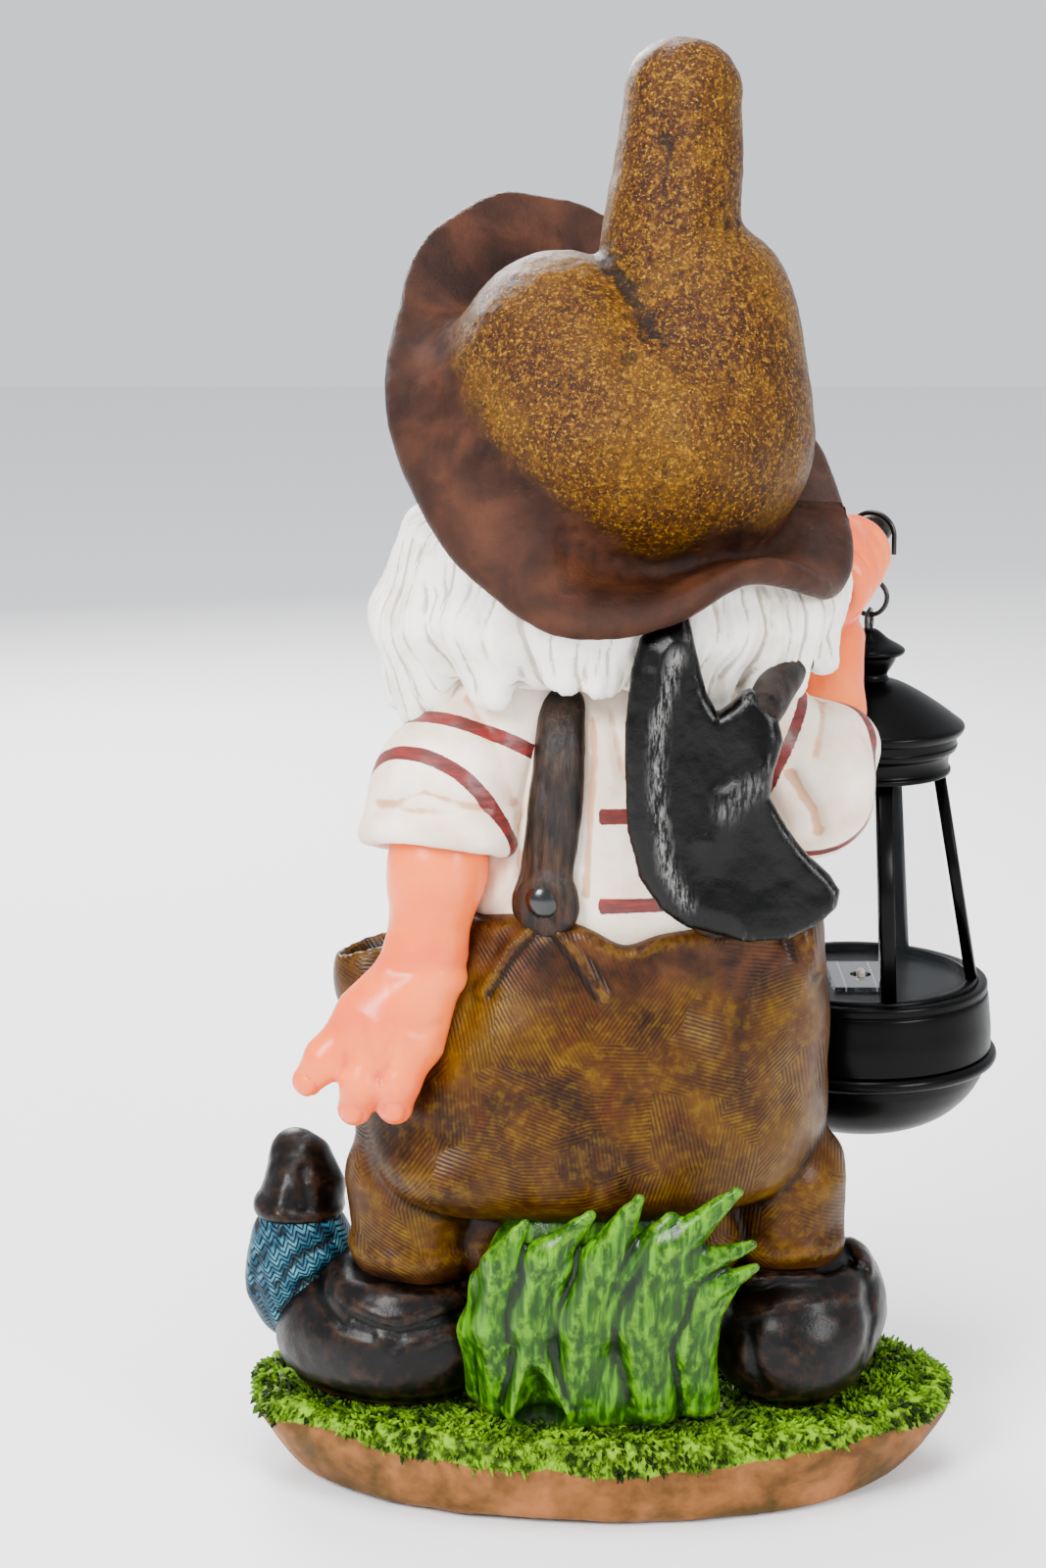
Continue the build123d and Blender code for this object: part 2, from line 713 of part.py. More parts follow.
# ---------------------------------------------------------------- lantern, top half
def lantern_finial():
    r, neck = FINIAL_RADIUS, FINIAL_NECK_RADIUS
    outline = [
        (0, APEX_Z),
        (3.0, APEX_Z),
        (r * 0.62, APEX_Z - 6.5),
        (r - 1.5, APEX_Z - 9.0),
        (r, APEX_Z - 11.0),
        (r - 1.0, APEX_Z - 13.0),
        (r - 4.5, APEX_Z - 14.5),
        (r - 5.0, APEX_Z - 17.0),
        (neck, APEX_Z - 21.5),
        (neck, NECK_Z),
        (FINIAL_SPIGOT, NECK_Z),
        (FINIAL_SPIGOT, NECK_Z - 5.0),
        (SCREW_RADIUS, NECK_Z - 5.0),
        (SCREW_RADIUS, NECK_Z + 4.0),
        (0, NECK_Z + 4.0),
    ]
    return turned(outline) - eye_form(0.02)


def finial_screw():
    seat = NECK_Z - 5.0
    outline = [
        (0, NECK_Z + 3.0),
        (SCREW_RADIUS - 0.05, NECK_Z + 3.0),
        (SCREW_RADIUS - 0.05, seat),
        (FINIAL_SPIGOT + 3.0, seat),
        (FINIAL_SPIGOT + 3.0, seat - SCREW_HEAD_HEIGHT),
        (0, seat - SCREW_HEAD_HEIGHT),
    ]
    return turned(outline)


def lantern_roof():
    w = PLASTIC_WALL
    bore = FINIAL_SPIGOT + FIT_GAP
    outline = [
        (bore, NECK_Z),
        (FINIAL_NECK_RADIUS + 7.0, NECK_Z - 1.5),
        (ROOF_RADIUS - 8.0, RIM_Z + 8.0),
        (ROOF_RADIUS, RIM_Z),
        (ROOF_RADIUS - 1.0, RIM_Z - 3.0),
        (ROOF_SKIRT_RADIUS, RIM_Z - 4.5),
        (ROOF_SKIRT_RADIUS, SKIRT_Z + 3.0),
        (ROOF_THROAT_RADIUS, SKIRT_Z - 3.0),
        (ROOF_THROAT_RADIUS, THROAT_Z),
        (ROOF_THROAT_RADIUS - w, THROAT_Z),
        (ROOF_THROAT_RADIUS - w, SKIRT_Z - 2.0),
        (ROOF_SKIRT_RADIUS - w, SKIRT_Z + 4.0),
        (ROOF_SKIRT_RADIUS - w, RIM_Z - 2.0),
        (ROOF_RADIUS - 9.5, RIM_Z + 5.5),
        (FINIAL_NECK_RADIUS + 6.0, NECK_Z - 1.5 - w),
        (bore, NECK_Z - w),
    ]
    return turned(outline)


def ring_at(z, height, outer, inner):
    return turned([(inner, z), (outer, z), (outer, z + height), (inner, z + height)])


def frame_bar(angle):
    """One splayed bar; its ends run into the two rings."""
    top = (BAR_TOP_RADIUS, 0, THROAT_Z + 1.0)
    foot = (BAR_FOOT_RADIUS, 0, FOOT_RING_Z - 1.0)
    sections = [Pos(*p) * Rectangle(BAR_DEPTH, BAR_WIDTH) for p in (foot, top)]
    return at_lantern(loft(sections), angle)


FIRST_BAR = 26.0                        # degrees from +X to the first bar


def lantern_frame():
    throat = ROOF_THROAT_RADIUS - PLASTIC_WALL - FIT_GAP
    top_ring = ring_at(THROAT_Z, 6.0, throat, BAR_TOP_RADIUS - BAR_DEPTH / 2)
    foot_outside, foot_inside = BAR_FOOT_RADIUS + FOOT_RING_LAND, BAR_FOOT_RADIUS - BAR_DEPTH / 2
    foot_ring = ring_at(COLLAR_Z, FRAME_RING, foot_outside, foot_inside)
    frame = top_ring + foot_ring
    for k in range(BAR_COUNT):
        frame = frame + frame_bar(FIRST_BAR + k * 360 / BAR_COUNT)
    return frame


def lantern_glass():
    gap = BAR_DEPTH / 2 + 3 * FIT_GAP
    top, foot = BAR_TOP_RADIUS - gap, BAR_FOOT_RADIUS - gap
    outline = [
        (foot, COLLAR_Z),
        (foot, FOOT_RING_Z),
        (top, THROAT_Z),
        (top, THROAT_Z + 5.0),
        (top - GLASS_WALL, THROAT_Z + 5.0),
        (top - GLASS_WALL, THROAT_Z),
        (foot - GLASS_WALL, FOOT_RING_Z),
        (foot - GLASS_WALL, COLLAR_Z),
    ]
    return turned(outline)


# ---------------------------------------------------------------- lantern, lower half
SCREW_CIRCLE = 59.0


def lantern_deck():
    edge = COLLAR_TOP_RADIUS - PLASTIC_WALL - FIT_GAP
    deck = ring_at(DECK_Z, DECK_THICKNESS, edge, LED_RADIUS + FIT_GAP)
    for k in range(LUG_COUNT):
        hole = Pos(SCREW_CIRCLE, 0, 0) * Cylinder(SCREW_RADIUS, DECK_THICKNESS, align=ON_FLOOR)
        deck = deck - at_lantern(hole, 90 + k * 360 / LUG_COUNT, DECK_Z)
    return deck


def deck_screws():
    """Three screws that hold the deck up to the foot ring of the frame."""
    shank = Pos(SCREW_CIRCLE, 0, 0) * Cylinder(
        SCREW_RADIUS - 0.05, DECK_THICKNESS - 0.2, align=ON_FLOOR
    )
    low = Pos(SCREW_CIRCLE, 0, 0) * Cylinder(
        SCREW_HEAD_RADIUS, SCREW_HEAD_HEIGHT, align=(Align.CENTER, Align.CENTER, Align.MAX)
    )
    return Compound(
        children=[at_lantern(shank + low, 90 + k * 360 / LUG_COUNT, DECK_Z) for k in range(LUG_COUNT)]
    )


def solar_cell():
    plate = Box(CELL_WIDTH, CELL_LENGTH, CELL_THICKNESS, align=ON_FLOOR)
    window = Cylinder(LED_RADIUS + 3.0, CELL_THICKNESS, align=ON_FLOOR)
    return at_lantern(plate - window, 0, COLLAR_Z + 0.02)


def led():
    r = LED_RADIUS
    outline = [
        (0, DECK_Z - 1.0),
        (r + 0.4, DECK_Z - 1.0),
        (r + 0.4, DECK_Z - 0.05),
        (r, DECK_Z - 0.05),
        (r, COLLAR_Z + 3.4),
        (r * 0.86, COLLAR_Z + 4.7),
        (r * 0.5, COLLAR_Z + 5.6),
        (0, COLLAR_Z + 5.9),
    ]
    return turned(outline)


def collar_skin():
    """The collar's outline: a lip over the deck's edge, then a wall down to the bead."""
    w, top, wide = PLASTIC_WALL, COLLAR_TOP_RADIUS, COLLAR_RADIUS
    lip = BAR_FOOT_RADIUS + FOOT_RING_LAND + FIT_GAP
    return [
        (lip, COLLAR_Z + w),
        (top - 1.5, COLLAR_Z + w),
        (top, COLLAR_Z + w - 1.2),
        (top, COLLAR_Z - 3.0),
        (wide, BEAD_Z + BEAD_HEIGHT),
        (wide, BEAD_Z),
        (wide - w, BEAD_Z),
        (wide - w, BEAD_Z + BEAD_HEIGHT),
        (top - w, COLLAR_Z - 3.0),
        (top - w, COLLAR_Z + 0.02),
        (lip, COLLAR_Z + 0.02),
    ]


def ring_sector(z, height, outer, inner, middle, span):
    """A piece of a flat ring, span degrees wide, about the lantern's axis."""
    a, b = radians(middle - span / 2), radians(middle + span / 2)
    m = radians(middle)

    def spot(r, t):
        return (r * cos(t), r * sin(t))

    face = make_face(
        Wire(
            [
                ThreePointArc(spot(outer, a), spot(outer, m), spot(outer, b)),
                Line(spot(outer, b), spot(inner, b)),
                ThreePointArc(spot(inner, b), spot(inner, m), spot(inner, a)),
                Line(spot(inner, a), spot(outer, a)),
            ]
        )
    )
    return at_lantern(extrude(face, height), 0, z)


SPIGOT_RADIUS = COLLAR_RADIUS - PLASTIC_WALL - LUG_REACH - 2 * FIT_GAP
LUG_Z = BEAD_Z + SPIGOT_HEIGHT - LUG_HEIGHT


def lantern_collar():
    """A bellied ring, open below, with three inward lips that hold the bowl's lugs."""
    collar = turned(collar_skin())
    for k in range(LUG_COUNT):
        lip = ring_sector(
            LUG_Z - LUG_HEIGHT - FIT_GAP,
            LUG_HEIGHT,
            COLLAR_RADIUS - PLASTIC_WALL / 2,
            SPIGOT_RADIUS + FIT_GAP,
            k * 360 / LUG_COUNT,
            LUG_SPAN,
        )
        collar = collar + lip
    return collar


def lantern_bowl():
    w = PLASTIC_WALL
    low, top = BOWL_Z, BEAD_Z - 2 * FIT_GAP
    shoulder = top - BEAD_HEIGHT
    mouth = BOWL_MOUTH_RADIUS
    outside = [
        (BEAD_RADIUS - 2.0, top),
        (BEAD_RADIUS, top - BEAD_HEIGHT * 0.35),
        (BEAD_RADIUS - 1.0, top - BEAD_HEIGHT * 0.75),
        (mouth + 1.0, shoulder),
    ]
    depth = shoulder - low
    span = mouth - BOWL_FLAT_RADIUS
    curve = [(t * 90 / 7) for t in range(8)]
    outer = [
        (BOWL_FLAT_RADIUS + span * cos(radians(t)), shoulder - depth * sin(radians(t)))
        for t in curve
    ]
    inner = [
        (BOWL_FLAT_RADIUS + (span - w) * cos(radians(t)), shoulder - (depth - w) * sin(radians(t)))
        for t in reversed(curve)
    ]
    spigot = [
        (SPIGOT_RADIUS - w, shoulder),
        (SPIGOT_RADIUS - w, BEAD_Z + SPIGOT_HEIGHT),
        (SPIGOT_RADIUS, BEAD_Z + SPIGOT_HEIGHT),
        (SPIGOT_RADIUS, top),
    ]
    bowl = turned(outside + outer + [(0, low), (0, low + w)] + inner + spigot)
    for k in range(LUG_COUNT):
        lug = ring_sector(
            LUG_Z,
            LUG_HEIGHT,
            SPIGOT_RADIUS + LUG_REACH,
            SPIGOT_RADIUS - w / 2,
            k * 360 / LUG_COUNT,
            LUG_SPAN - 4,
        )
        bowl = bowl + lug
    slot = Box(KNOB_LENGTH + 2 * SWITCH_TRAVEL + 2 * FIT_GAP, KNOB_WIDTH + 2 * FIT_GAP, 2 * w)
    return bowl - at_lantern(slot, 0, low + w / 2)


def seal_ring():
    """An O-ring at the foot of the bowl's spigot."""
    return at_lantern(Torus(SPIGOT_RADIUS + SEAL_WIRE, SEAL_WIRE), 0, BEAD_Z - 2 * FIT_GAP + SEAL_WIRE)


def battery_holder():
    w = HOLDER_WALL
    r, length = BATTERY_RADIUS + FIT_GAP, BATTERY_LENGTH + 8.0
    block = Box(length + 2 * w, 2 * (r + w), r + w + 3.0, align=(Align.CENTER, Align.CENTER, Align.MAX))
    trough = Pos(0, 0, -(r + w + 3.0)) * Rot(0, 90, 0) * Cylinder(r, length)
    return at_lantern(Pos(0, 24, 0) * (block - trough), 0, DECK_Z - 0.05)


HOLDER_MID_Z = DECK_Z - 0.05 - (BATTERY_RADIUS + FIT_GAP + HOLDER_WALL + 3.0)


def battery_cell():
    r, length = BATTERY_RADIUS, BATTERY_LENGTH
    can = Rot(0, 90, 0) * Cylinder(r, length - 1.5)
    nub = Pos(length / 2 - 0.5, 0, 0) * Rot(0, 90, 0) * Cylinder(2.6, 2.0)
    return at_lantern(Pos(-1, 24, 0) * (can + nub), 0, HOLDER_MID_Z)


def contact_springs():
    """A sprung contact at one end of the cell and a flat one at the other."""
    reach = (BATTERY_LENGTH + 8.0) / 2
    gap = 0.1
    start = -reach + gap
    end = -1 - (BATTERY_LENGTH - 1.5) / 2 - gap
    coil = Plane(origin=((start + end) / 2, 24, 0), z_dir=(1, 0, 0)) * (
        Cylinder(4.2, end - start) - Cylinder(3.2, end - start)
    )
    plate = Pos(reach - 1.0, 24, 0) * Box(0.6, 9, 9)
    placed = [at_lantern(coil, 0, HOLDER_MID_Z), at_lantern(plate, 0, HOLDER_MID_Z + 1.0)]
    return Compound(children=placed)


def circuit_board():
    length, width, thick = BOARD_SIZE
    board = Box(length, width, thick, align=(Align.CENTER, Align.CENTER, Align.MAX))
    chip = Pos(8, -4, -thick) * Box(6, 5, 1.6, align=(Align.CENTER, Align.CENTER, Align.MAX))
    coil = Pos(-8, -4, -thick) * Cylinder(3, 4, align=(Align.CENTER, Align.CENTER, Align.MAX))
    return at_lantern(board + chip + coil, 0, DECK_Z - 1.1)


def switch_housing():
    w = PLASTIC_WALL
    cavity = Box(KNOB_LENGTH + 4 * SWITCH_TRAVEL + 1, KNOB_WIDTH + 4, 3, align=ON_FLOOR)
    block = Box(KNOB_LENGTH + 4 * SWITCH_TRAVEL + 5, KNOB_WIDTH + 8, 6, align=ON_FLOOR)
    return at_lantern(block - cavity, 0, BOWL_Z + w + 0.02)


def switch_knob():
    """Slides along X in the bowl's slot; a flange keeps it in the housing."""
    w = PLASTIC_WALL
    stem = Box(KNOB_LENGTH, KNOB_WIDTH, w + 2.0, align=ON_FLOOR)
    flange = Pos(0, 0, w + 0.4) * Box(
        KNOB_LENGTH + 2 * SWITCH_TRAVEL + 1, KNOB_WIDTH + 3, 1.6, align=ON_FLOOR
    )
    return at_lantern(Pos(-SWITCH_TRAVEL / 2, 0, 0) * (stem + flange), 0, BOWL_Z + 0.2)


# ---------------------------------------------------------------- write the parts
PARTS = {
    "base": base,
    "vent_plug": vent_plug,
    "grass_tuft": grass_tuft,
    "right_boot": right_boot,
    "left_boot": left_boot,
    "left_sock": left_sock,
    "left_toe_cap": left_toe_cap,
    "trousers": trousers,
    "left_leg": lambda: breeches_leg(LEFT_LEG),
    "right_leg": lambda: breeches_leg(RIGHT_LEG),
    "shirt": shirt,
    "left_sleeve": left_sleeve,
    "right_sleeve": right_sleeve,
    "left_arm": left_arm,
    "right_arm": right_arm,
    "head": head,
    "hair": hair,
    "beard": beard,
    "hat": hat,
    "strap_back_left": lambda: strap("strap_back_left"),
    "strap_back_right": lambda: strap("strap_back_right"),
    "strap_front_left": lambda: strap("strap_front_left"),
    "strap_front_right": lambda: strap("strap_front_right"),
    "strap_buttons": buttons,
    "axe_head": axe_head,
    "axe_handle": axe_handle,
    "s_hook": s_hook,
    "lantern_eye": eye_form,
    "lantern_finial": lantern_finial,
    "finial_screw": finial_screw,
    "lantern_roof": lantern_roof,
    "lantern_frame": lantern_frame,
    "lantern_glass": lantern_glass,
    "lantern_deck": lantern_deck,
    "deck_screws": deck_screws,
    "solar_cell": solar_cell,
    "led": led,
    "lantern_collar": lantern_collar,
    "lantern_bowl": lantern_bowl,
    "seal_ring": seal_ring,
    "battery_holder": battery_holder,
    "battery_cell": battery_cell,
    "contact_springs": contact_springs,
    "circuit_board": circuit_board,
    "switch_housing": switch_housing,
    "switch_knob": switch_knob,
}

os.makedirs("parts", exist_ok=True)
for name, make in PARTS.items():
    shape = make()
    export_step(shape, f"parts/{name}.step")
    size = shape.bounding_box().size
    print(f"{name:18s} {len(shape.solids())} solid(s), {shape.volume:.0f} mm3, {size}")
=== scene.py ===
# %% [markdown]
# # A painted resin garden gnome with a hanging lantern
# The gnome is a hollow casting that a painter finished by hand: a sculptor's soft forms first,
# then thin dark washes that settle in the creases. This lesson models it the same way, and lets
# the washes also carry painted shade in the hollows and a painted highlight on what stands proud.
# The soft forms are written as distance fields, because fields melt into each other as clay does,
# and the washes, shade and highlights are made from how hollow or how proud the surface is at
# each point.

# %% Load the frame
import json
import math
import time

import bpy
import numpy as np
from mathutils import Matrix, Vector


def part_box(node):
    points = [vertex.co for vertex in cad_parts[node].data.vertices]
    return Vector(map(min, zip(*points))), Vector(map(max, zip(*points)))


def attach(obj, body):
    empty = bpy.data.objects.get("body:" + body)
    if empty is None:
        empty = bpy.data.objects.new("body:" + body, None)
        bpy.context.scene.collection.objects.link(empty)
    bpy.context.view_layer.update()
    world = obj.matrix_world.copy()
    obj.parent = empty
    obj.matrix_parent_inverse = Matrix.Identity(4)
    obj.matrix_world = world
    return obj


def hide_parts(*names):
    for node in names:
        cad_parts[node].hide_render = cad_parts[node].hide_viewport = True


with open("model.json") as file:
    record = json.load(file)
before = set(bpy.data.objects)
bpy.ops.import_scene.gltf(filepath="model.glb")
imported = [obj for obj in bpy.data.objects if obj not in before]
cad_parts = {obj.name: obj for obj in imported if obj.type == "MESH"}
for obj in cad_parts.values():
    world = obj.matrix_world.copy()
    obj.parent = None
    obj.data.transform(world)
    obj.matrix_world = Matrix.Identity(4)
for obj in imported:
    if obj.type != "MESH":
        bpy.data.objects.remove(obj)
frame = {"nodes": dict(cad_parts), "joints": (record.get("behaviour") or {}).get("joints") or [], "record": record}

STARTED = time.time()
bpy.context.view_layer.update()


# %% [markdown]
# ## Measures taken from the frame
# Each CAD node tells where its piece belongs. Millimetres are easier to sculpt in, so this cell
# converts the corners once, and reads the figure's few landmarks from them. The sculpted pieces
# below are drawn in the same millimetres, as a sculptor marks a drawing at full size.

# %% Landmarks in millimetres
def span(node):
    """Lowest and highest corner of a CAD node, in millimetres."""
    low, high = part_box(node)
    return np.array(low) * 1000.0, np.array(high) * 1000.0


def middle(node):
    low, high = span(node)
    return (low + high) / 2


TURF_Z = span("base")[1][2]
SOLE_Z = span("left_boot")[0][2]
SEAT_Z = span("trousers")[0][2]
WAIST_Z = span("trousers")[1][2]
SHOULDER_Z = span("shirt")[1][2]
WAIST_SHIFT = WAIST_Z - 294.2   # the cloth was drawn for a waist at 294.2
HEAD_C = np.array([-4.0, -14.0, SHOULDER_Z + 76.0])
CROWN_C = np.array([-14.0, 30.0, HEAD_C[2] + 54.0])
print(f"turf {TURF_Z:.1f}, seat {SEAT_Z:.1f}, waist {WAIST_Z:.1f}, shoulders {SHOULDER_Z:.1f} mm")


# %% [markdown]
# ## The clay: distance fields
# A field answers, for any point, how far it is from the surface, negative inside. An egg and a
# tapered limb are enough for most of a figure. `meld` joins two fields with a soft fillet, and
# `carve` takes one from another with a soft edge, as a thumb would. In all of them P holds the
# points that are asked about, one to a row, in millimetres.

# %% Fields for eggs and limbs, and the soft joins
def vec(*numbers):
    return np.array(numbers, dtype=np.float32)


def egg(P, centre, radii):
    """Distance to an ellipsoid, good near its surface."""
    q = P - vec(*centre)
    r = vec(*radii)
    k0 = np.sqrt(((q / r) ** 2).sum(1)) + 1e-6
    k1 = np.sqrt(((q / (r * r)) ** 2).sum(1)) + 1e-9
    return k0 * (k0 - 1.0) / k1


def limb(P, start, end, r0, r1):
    """Distance to a round limb that tapers from one radius to another."""
    a, b = vec(*start), vec(*end)
    d = b - a
    h = np.clip(((P - a) @ d) / float(d @ d), 0.0, 1.0)
    return np.sqrt(((P - a - h[:, None] * d) ** 2).sum(1)) - (r0 + (r1 - r0) * h)


def trail(P, points, radii, k=2.0):
    """A bent limb through several points."""
    field = limb(P, points[0], points[1], radii[0], radii[1])
    for i in range(1, len(points) - 1):
        field = meld(field, limb(P, points[i], points[i + 1], radii[i], radii[i + 1]), k)
    return field


def meld(a, b, k):
    h = np.maximum(k - np.abs(a - b), 0.0) / k
    return np.minimum(a, b) - h * h * k * 0.25


def carve(a, b, k):
    return -meld(-a, b, k)


def swell(P, centre, reach):
    """A soft bump that is 1 at its centre and fades over its reach."""
    q = ((P - vec(*centre)) / vec(*reach)) ** 2
    return np.exp(-q.sum(1))


# %% [markdown]
# Casting resin keeps every unevenness of the clay. The noise below gives that unevenness: it
# blends random values that sit on a lattice, so it is the same on each run.

# %% Unevenness
def grain(P, size, seed=0):
    """Smooth random values between -1 and 1, with lumps about as large as size."""
    q = P / np.float32(size) + np.float32(97.3)
    cell = np.floor(q)
    f = q - cell
    f = f * f * (3.0 - 2.0 * f)
    c = cell.astype(np.int64)

    def corner(dx, dy, dz):
        n = (c[:, 0] + dx) * 374761393 + (c[:, 1] + dy) * 668265263 + (c[:, 2] + dz) * 2147483647
        n = (n + seed * 1013904223) & 0xFFFFFFFF
        n = ((n ^ (n >> 13)) * 1274126177) & 0xFFFFFFFF
        return ((n ^ (n >> 16)) & 0xFFFF).astype(np.float32) / 32767.5 - 1.0

    x, y, z = f[:, 0], f[:, 1], f[:, 2]
    low = (corner(0, 0, 0) * (1 - x) + corner(1, 0, 0) * x) * (1 - y) + (
        corner(0, 1, 0) * (1 - x) + corner(1, 1, 0) * x
    ) * y
    high = (corner(0, 0, 1) * (1 - x) + corner(1, 0, 1) * x) * (1 - y) + (
        corner(0, 1, 1) * (1 - x) + corner(1, 1, 1) * x
    ) * y
    return low * (1 - z) + high * z


def lumps(P, size, seed=0):
    """Two sizes of grain together."""
    return 0.68 * grain(P, size, seed) + 0.32 * grain(P, size * 0.45, seed + 7)


# %% [markdown]
# ## The casting: from a field to a mesh
# The field is sampled on a grid. Only blocks that the surface can pass through are sampled
# finely. One point is placed in each cell that the surface crosses, and cells that share a
# crossed edge are joined by a face, which gives even quads. The points are then pulled exactly
# onto the surface, and faces wound so that they point outwards.

# %% Cast a field
BLOCK = 8                       # grid cells along a block's side
COARSE = 1.0
FINISHES = {}


def sample_field(field, low, cell, blocks):
    """Field values on a grid. Blocks far from the surface are filled with one value."""
    n = blocks * BLOCK
    values = np.empty(tuple(n + 1), dtype=np.float32)
    index = np.stack(np.meshgrid(*[np.arange(b + 1) for b in blocks], indexing="ij"), -1).reshape(-1, 3)
    centre = (low + (index + 0.5) * BLOCK * cell).astype(np.float32)
    rough_value = field(centre)
    near = np.abs(rough_value) < BLOCK * cell * 1.35
    values.fill(1e3)
    offsets = np.stack(np.meshgrid(*[np.arange(BLOCK)] * 3, indexing="ij"), -1).reshape(-1, 3)
    far = index[~near]
    for (i, j, k), v in zip(far * BLOCK, rough_value[~near]):
        values[i : i + BLOCK, j : j + BLOCK, k : k + BLOCK] = v
    close = index[near]
    for part in np.array_split(close, max(1, len(close) // 1200)):
        nodes = (part[:, None, :] * BLOCK + offsets[None]).reshape(-1, 3)
        keep = (nodes <= n).all(1)
        nodes = nodes[keep]
        values[nodes[:, 0], nodes[:, 1], nodes[:, 2]] = field((low + nodes * cell).astype(np.float32))
    return values


def surface_points(values):
    """One point in each crossed cell, at the mean of its edge crossings, and its number."""
    inside = values < 0
    shape = np.array(values.shape) - 1
    total = np.zeros((*shape, 3), np.float32)
    count = np.zeros(tuple(shape), np.float32)
    for axis in range(3):
        others = [a for a in range(3) if a != axis]
        for du in (0, 1):
            for dv in (0, 1):
                lo = [slice(0, s) for s in shape]
                lo[others[0]] = slice(du, shape[others[0]] + du)
                lo[others[1]] = slice(dv, shape[others[1]] + dv)
                hi = list(lo)
                hi[axis] = slice(1, shape[axis] + 1)
                a, b = values[tuple(lo)], values[tuple(hi)]
                cross = (inside[tuple(lo)] != inside[tuple(hi)])
                t = np.where(cross, a / np.where(cross, a - b, 1), 0)
                total[..., axis] += t
                total[..., others[0]] += cross * du
                total[..., others[1]] += cross * dv
                count += cross
    number = np.full(tuple(shape), -1, np.int64)
    hit = count > 0
    number[hit] = np.arange(hit.sum())
    cells = np.argwhere(hit)
    return cells + total[hit] / count[hit][:, None], number


def surface_faces(values, number):
    """Quads round every crossed grid edge, wound outwards."""
    inside = values < 0
    quads = []
    for axis in range(3):
        u, v = [(1, 2), (2, 0), (0, 1)][axis]
        lo = [slice(1, -1)] * 3
        lo[axis] = slice(0, -1)
        hi = list(lo)
        hi[axis] = slice(1, None)
        a, b = inside[tuple(lo)], inside[tuple(hi)]
        for leaving, order in ((a & ~b, 1), (~a & b, -1)):
            at = np.argwhere(leaving)
            at[:, u] += 1
            at[:, v] += 1
            ring = []
            for du, dv in ((-1, -1), (0, -1), (0, 0), (-1, 0))[::order]:
                c = at.copy()
                c[:, u] += du
                c[:, v] += dv
                ring.append(number[c[:, 0], c[:, 1], c[:, 2]])
            quads.append(np.stack(ring, 1))
    return np.concatenate(quads)


def largest_shells(points, faces, share=0.02):
    """Leave out crumbs: keep shells that hold at least a share of the points."""
    label = np.arange(len(points))
    edges = np.concatenate([faces[:, [0, 1]], faces[:, [1, 2]], faces[:, [2, 3]]])
    while True:
        low = np.minimum(label[edges[:, 0]], label[edges[:, 1]])
        new = label.copy()
        np.minimum.at(new, edges[:, 0], low)
        np.minimum.at(new, edges[:, 1], low)
        new = new[new]
        if (new == label).all():
            break
        label = new
    names, counts = np.unique(label, return_counts=True)
    good = np.isin(label, names[counts >= share * len(points)])
    renumber = np.cumsum(good) - 1
    return points[good], renumber[faces[good[faces[:, 0]]]]


def slope(field, points, step=0.4):
    """Direction in which the field grows, as unit vectors, and how steeply."""
    grad = np.empty_like(points)
    for axis in range(3):
        d = np.zeros(3, np.float32)
        d[axis] = step
        grad[:, axis] = (field(points + d) - field(points - d)) / (2 * step)
    size = np.sqrt((grad**2).sum(1)) + 1e-9
    return grad / size[:, None], size


def hollowness(points, faces, turns):
    """How far each point lies below (+) or above (-) the mean of its neighbourhood."""
    edges = np.concatenate([faces[:, [0, 1]], faces[:, [1, 2]], faces[:, [2, 3]], faces[:, [3, 0]]])
    a, b = np.concatenate([edges[:, 0], edges[:, 1]]), np.concatenate([edges[:, 1], edges[:, 0]])
    degree = np.bincount(a, minlength=len(points))[:, None]
    flat = points.astype(np.float64)
    for _ in range(turns):
        flat = np.stack([np.bincount(a, flat[b, i], len(points)) for i in range(3)], 1) / degree
    return flat - points


def cast(name, field, low, high, cell, body, nodes, slot, extra=None):
    """Cast a field between two corners (mm) into a finished piece that rides on a body."""
    began = time.time()
    cell = cell * COARSE
    low, high = np.array(low, float) - 2 * cell, np.array(high, float) + 2 * cell
    blocks = np.ceil((high - low) / (BLOCK * cell)).astype(int)
    values = sample_field(field, low, cell, blocks)
    values[[0, -1]] = values[:, [0, -1]] = values[:, :, [0, -1]] = 1e3
    points, number = surface_points(values)
    faces = surface_faces(values, number)
    points, faces = largest_shells((low + points * cell).astype(np.float32), faces)
    for _ in range(2):
        normal, steep = slope(field, points)
        step = np.clip(field(points) / np.maximum(steep, 0.35), -0.6 * cell, 0.6 * cell)
        points = points - normal * step[:, None]
    normal, _ = slope(field, points)
    # The crease and form values let the paint lay a wash with painted shade into hollows, and a dry brush with
    # painted highlight on what stands proud.
    layers = {
        "crease": (hollowness(points, faces, 4) * normal).sum(1),
        "form": (hollowness(points, faces, 30) * normal).sum(1),
    }
    if extra:
        layers.update(extra(points, normal))
    mesh = bpy.data.meshes.new(name)
    mesh.from_pydata((points / 1000.0).tolist(), [], faces.tolist())
    for key, value in layers.items():
        mesh.attributes.new(key, "FLOAT", "POINT").data.foreach_set("value", value.astype(np.float32))
    mesh.polygons.foreach_set("use_smooth", np.ones(len(faces), bool))
    mesh.update()
    piece = bpy.data.objects.new(name, mesh)
    bpy.context.scene.collection.objects.link(piece)
    finish_piece(piece, body, nodes, slot)
    size = points.max(0) - points.min(0)
    print(f"{name}: {len(faces) * 2} triangles, {np.round(size, 0)} mm, {time.time() - began:.1f} s")
    return piece


def finish_piece(piece, body, nodes, slot):
    """Give a piece its finish, hang it on the body that carries it, and hide the CAD nodes it replaces."""
    if slot in FINISHES:
        piece.data.materials.append(FINISHES[slot])
    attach(piece, body)
    if nodes:
        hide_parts(*nodes)


# %% [markdown]
# ## Camera, floor and light
# The camera stands behind the figure, a little above its middle, and looks slightly down. A
# large pale floor and a few big soft lamps make an even studio light, with one lamp stronger
# so that the forms turn.

